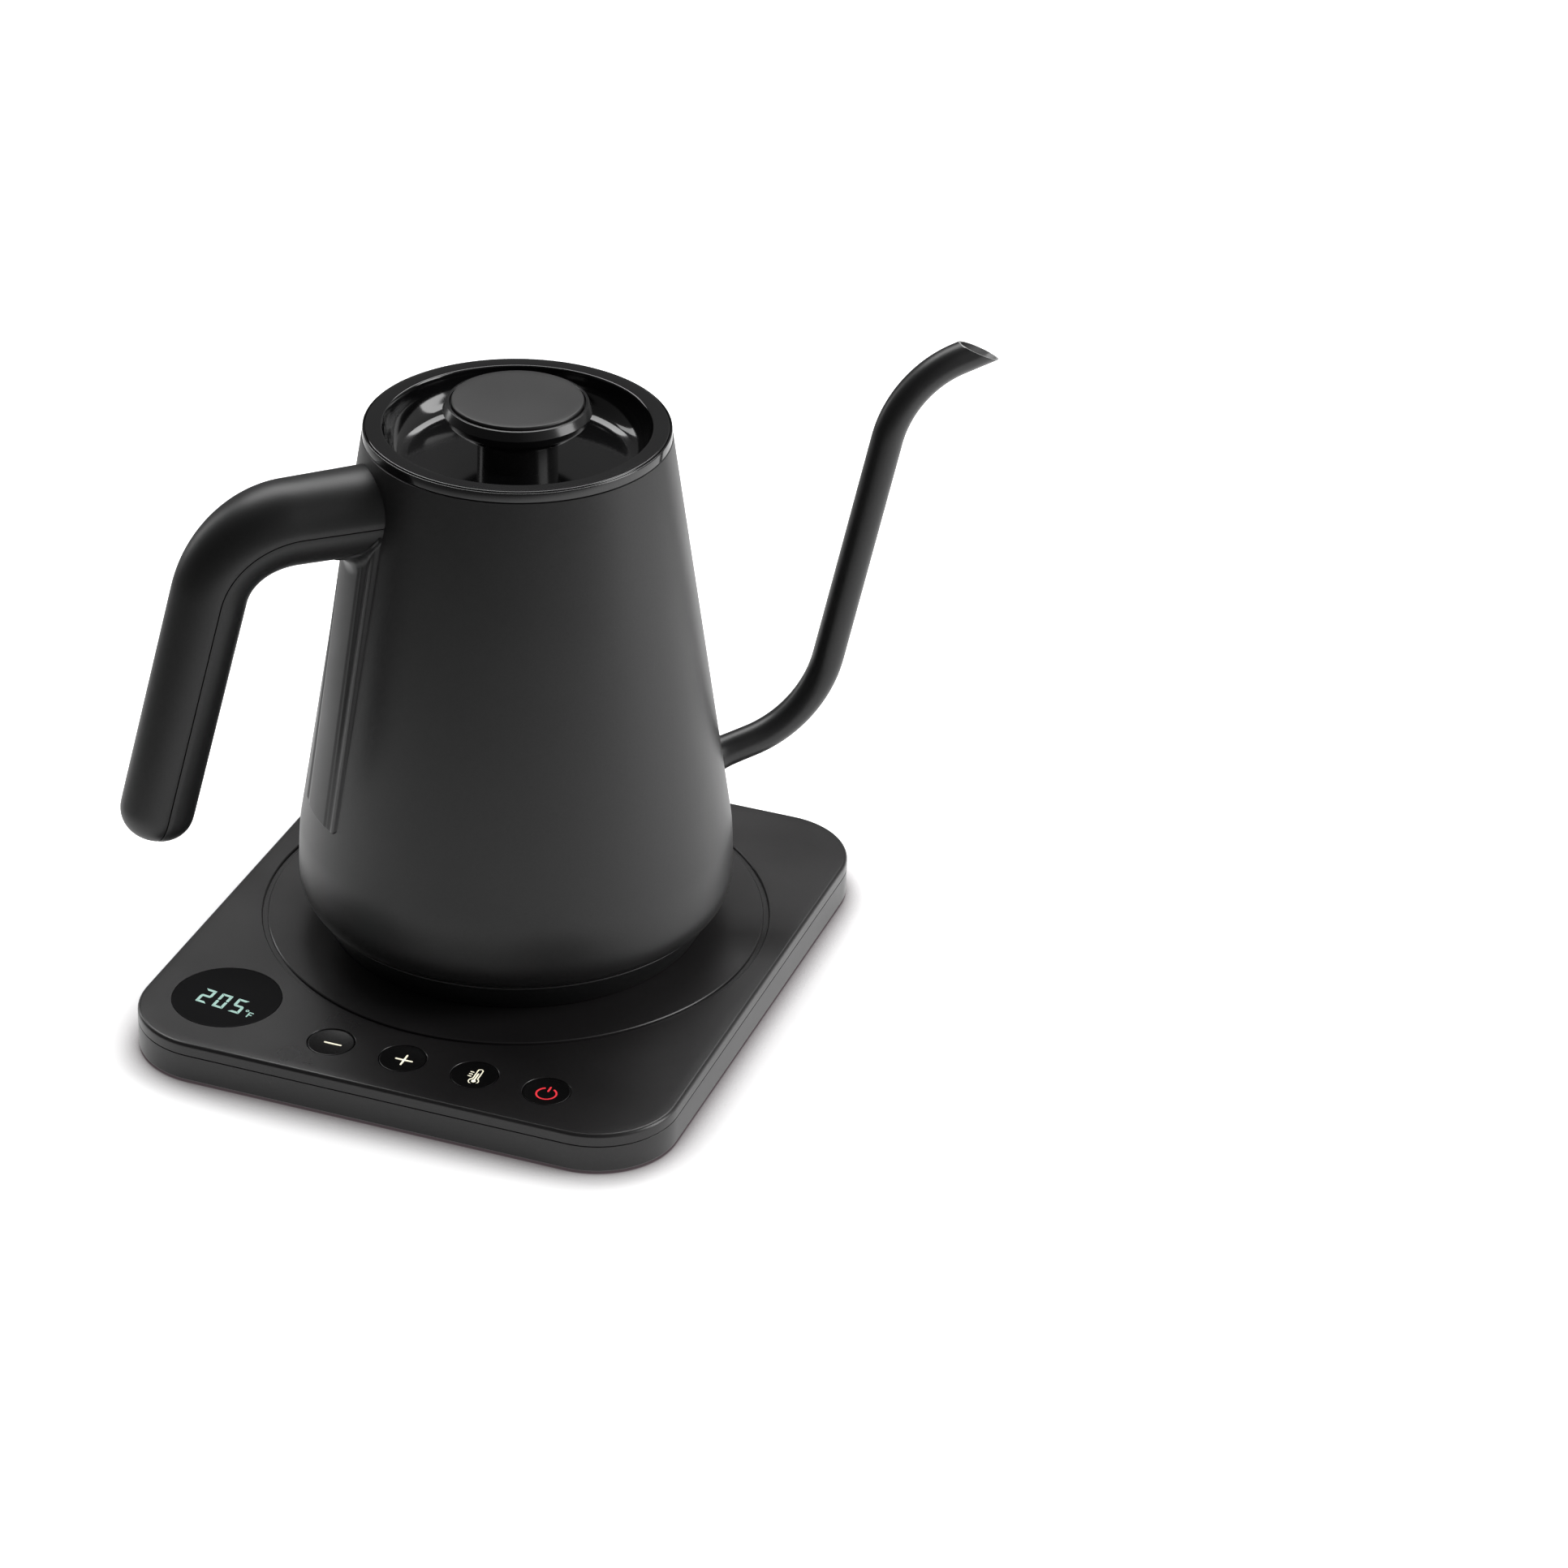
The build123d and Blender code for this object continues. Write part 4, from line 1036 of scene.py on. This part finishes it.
def spine_height(across, z):
    """How far the cover strip stands off the body at a place."""
    part = (z - SPINE_LOW) / (HANDLE_ROOT[1] - SPINE_LOW)
    rib = RIB_RISE[0] + RIB_RISE[1] * part
    flange = FLANGE_RISE[0] + FLANGE_RISE[1] * part
    valley = flange - VALLEY_DEPTH
    side = abs(across)
    if side < RIB_HALF:
        crown = rib + RIB_CROWN * (1 - (side / RIB_HALF) ** 2)
        height = ease(crown, rib - RIB_EDGE, (side - RIB_HALF + RIB_EDGE_WIDTH) / RIB_EDGE_WIDTH)
    elif side < VALLEY_AT:
        height = ease(rib - RIB_EDGE, valley, (side - RIB_HALF) / (VALLEY_AT - RIB_HALF))
    elif side < FLANGE_AT:
        height = ease(valley, flange, (side - VALLEY_AT) / (FLANGE_AT - VALLEY_AT))
    else:
        height = ease(flange, BORDER_RISE, (side - BORDER_AT) / (SPINE_HALF - BORDER_AT))
    foot = min(1.0, (z - strip_low(across)) / SPINE_FOOT)
    height *= math.sqrt(max(0.0, 1 - (1 - foot) ** 2))
    scoop = ease(*SCOOP, (side - SCOOP_AT) / SCOOP_WIDTH)
    reach = min(scoop, max(0.0, scoop - (handle_under(across) - z)))
    return height + scoop - math.sqrt(max(0.0, scoop**2 - reach**2))


def spine():
    """Cover strip down the body, scooped where it meets the handle."""
    mesh = bmesh.new()
    fronts = []
    backs = []
    for j in range(SPINE_ROWS + 1):
        part = j / SPINE_ROWS
        front = []
        back = []
        for i in range(SPINE_COLUMNS + 1):
            across = SPINE_HALF * (2 * i / SPINE_COLUMNS - 1)
            low = strip_low(across)
            if part < FOOT_ROWS:
                z = low + FOOT_HEIGHT * part / FOOT_ROWS
            else:
                rest = (1 - part) / (1 - FOOT_ROWS)
                height = handle_under(across) + 1.0 - low - FOOT_HEIGHT
                z = low + FOOT_HEIGHT + height * (1 - rest**1.6)
            radius = body_radius(z)
            angle = math.asin(across / radius)
            for line, stand in ((front, spine_height(across, z)), (back, SPINE_BACK)):
                r = radius + stand
                spot = Vector((-r * math.cos(angle), r * math.sin(angle), z))
                line.append(mesh.verts.new(KETTLE @ spot * MM))
        fronts.append(front)
        backs.append(back)
    strip_of_rings(mesh, fronts, closed_rings=False)
    strip_of_rings(mesh, backs, closed_rings=False)
    for a, b in ((fronts[0], backs[0]), (fronts[-1], backs[-1])):
        strip_of_rings(mesh, [a, b], closed_rings=False)
    for i in (0, -1):
        edges = [[row[i] for row in rows] for rows in (fronts, backs)]
        strip_of_rings(mesh, edges, closed_rings=False)
    keep(mesh, "spine", "kettle", "handle_plastic", crease=60)


# ---------------------------------------------------------------- stage
def finish_cad_nodes():
    """Gives every CAD node the look of its material slot."""
    slots = {entry["node"]: entry["material_slot"] for entry in frame["record"]["subparts"]}
    for name, piece in NODES.items():
        look = LOOKS[slots[name]]
        if piece.data.materials:
            for i in range(len(piece.data.materials)):
                piece.data.materials[i] = look
        else:
            piece.data.materials.append(look)


def soft_light(name, spot, width, height, power):
    """Rectangular lamp aimed at the kettle, below its middle."""
    data = bpy.data.lights.new(name, "AREA")
    data.shape = "RECTANGLE"
    data.size = width
    data.size_y = height
    data.energy = power
    lamp = bpy.data.objects.new(name, data)
    lamp.location = spot
    lamp.rotation_euler = (Vector(LIGHT_AIM) - Vector(spot)).to_track_quat("-Z", "Y").to_euler()
    bpy.context.scene.collection.objects.link(lamp)


ROOM_TURN = math.radians(19)
BACK = (-math.sin(ROOM_TURN), math.cos(ROOM_TURN), 0.0)
RIGHT = (math.cos(ROOM_TURN), math.sin(ROOM_TURN), 0.0)
SKY_BASE = 0.10
SKY_SIDES = ((BACK, -0.10, 0.70, 0.06), (RIGHT, 0.1, 0.9, 0.32))     # toward, from, to, amount
LIGHT_AIM = (0, 0, 0.08)     # metres, as are the lamps' places and sizes


def sky():
    """Room light: dim all round, a little brighter behind and much brighter on the right."""
    world = bpy.data.worlds.new("studio")
    world.use_nodes = True
    tree = world.node_tree
    direction = tree.nodes.new("ShaderNodeTexCoord").outputs["Generated"]
    total = None
    for toward, start, end, amount in SKY_SIDES:
        dot = tree.nodes.new("ShaderNodeVectorMath")
        dot.operation = "DOT_PRODUCT"
        dot.inputs[1].default_value = toward
        tree.links.new(direction, dot.inputs[0])
        glow = remap(tree, dot.outputs["Value"], 0.0, amount, start, end)
        add = tree.nodes.new("ShaderNodeMath")
        add.operation = "ADD"
        tree.links.new(glow, add.inputs[0])
        if total:
            tree.links.new(total, add.inputs[1])
        else:
            add.inputs[1].default_value = SKY_BASE
        total = add.outputs["Value"]
    tree.nodes["Background"].inputs["Color"].default_value = (1, 1, 1, 1)
    tree.links.new(total, tree.nodes["Background"].inputs["Strength"])
    bpy.context.scene.world = world


def studio():
    """Pale floor, room light and three lamps."""
    mesh = bmesh.new()
    bmesh.ops.create_grid(mesh, x_segments=1, y_segments=1, size=6.0)
    data = bpy.data.meshes.new("floor")
    mesh.to_mesh(data)
    mesh.free()
    floor = bpy.data.objects.new("floor", data)
    bpy.context.scene.collection.objects.link(floor)
    data.materials.append(floor_material())
    sky()
    soft_light("left_strip", (-1.2, 0.35, 0.55), 0.25, 1.0, 2.5)
    soft_light("right_box", (1.15, 0.25, 0.6), 0.6, 1.0, 11)
    soft_light("back_box", (-0.35, 0.80, 1.35), 1.7, 0.8, 20)
    view = bpy.context.scene.view_settings
    view.view_transform = "Standard"
    view.look = "None"


CAMERA_TURN = math.radians(19.01)
CAMERA_DROP = math.radians(30.02)
CAMERA_ROLL = math.radians(-1.92)
CAMERA_SPOT = (502.45, -1198.78, 802.64)     # above the centre of the plate
CAMERA_LENS = 114.474
SENSOR = 36.0


def camera():
    """Camera in front and to the right, looking down on the kettle."""
    forward = Vector((-math.sin(CAMERA_TURN) * math.cos(CAMERA_DROP),
                      math.cos(CAMERA_TURN) * math.cos(CAMERA_DROP), -math.sin(CAMERA_DROP)))
    level = Vector((math.cos(CAMERA_TURN), math.sin(CAMERA_TURN), 0))
    down = forward.cross(level)
    right = math.cos(CAMERA_ROLL) * level + math.sin(CAMERA_ROLL) * down
    low = -math.sin(CAMERA_ROLL) * level + math.cos(CAMERA_ROLL) * down
    data = bpy.data.cameras.new("camera")
    data.lens = CAMERA_LENS
    data.sensor_width = SENSOR
    data.clip_end = 20
    view = bpy.data.objects.new("camera", data)
    turn = Matrix((right, -low, -forward)).transposed().to_4x4()
    spot = Vector(CAMERA_SPOT) + Vector((0, 0, PLATE_Z))
    view.matrix_world = Matrix.Translation(spot * MM) @ turn
    bpy.context.scene.collection.objects.link(view)
    bpy.context.scene.camera = view


finish_cad_nodes()
upper_cover()
lower_cover()
window_glass()
digits()
buttons()
sign_minus()
sign_plus()
sign_temperature()
sign_power()
body_skin()
foot_ring()
rim_ring()
lid_top()
knob_head()
knob_cap()
spout()
handle_half("handle_outside", 1, ["handle_outer_shell"])
handle_half("handle_inside", -1, ["handle_inner_shell"])
spine()
studio()
camera()
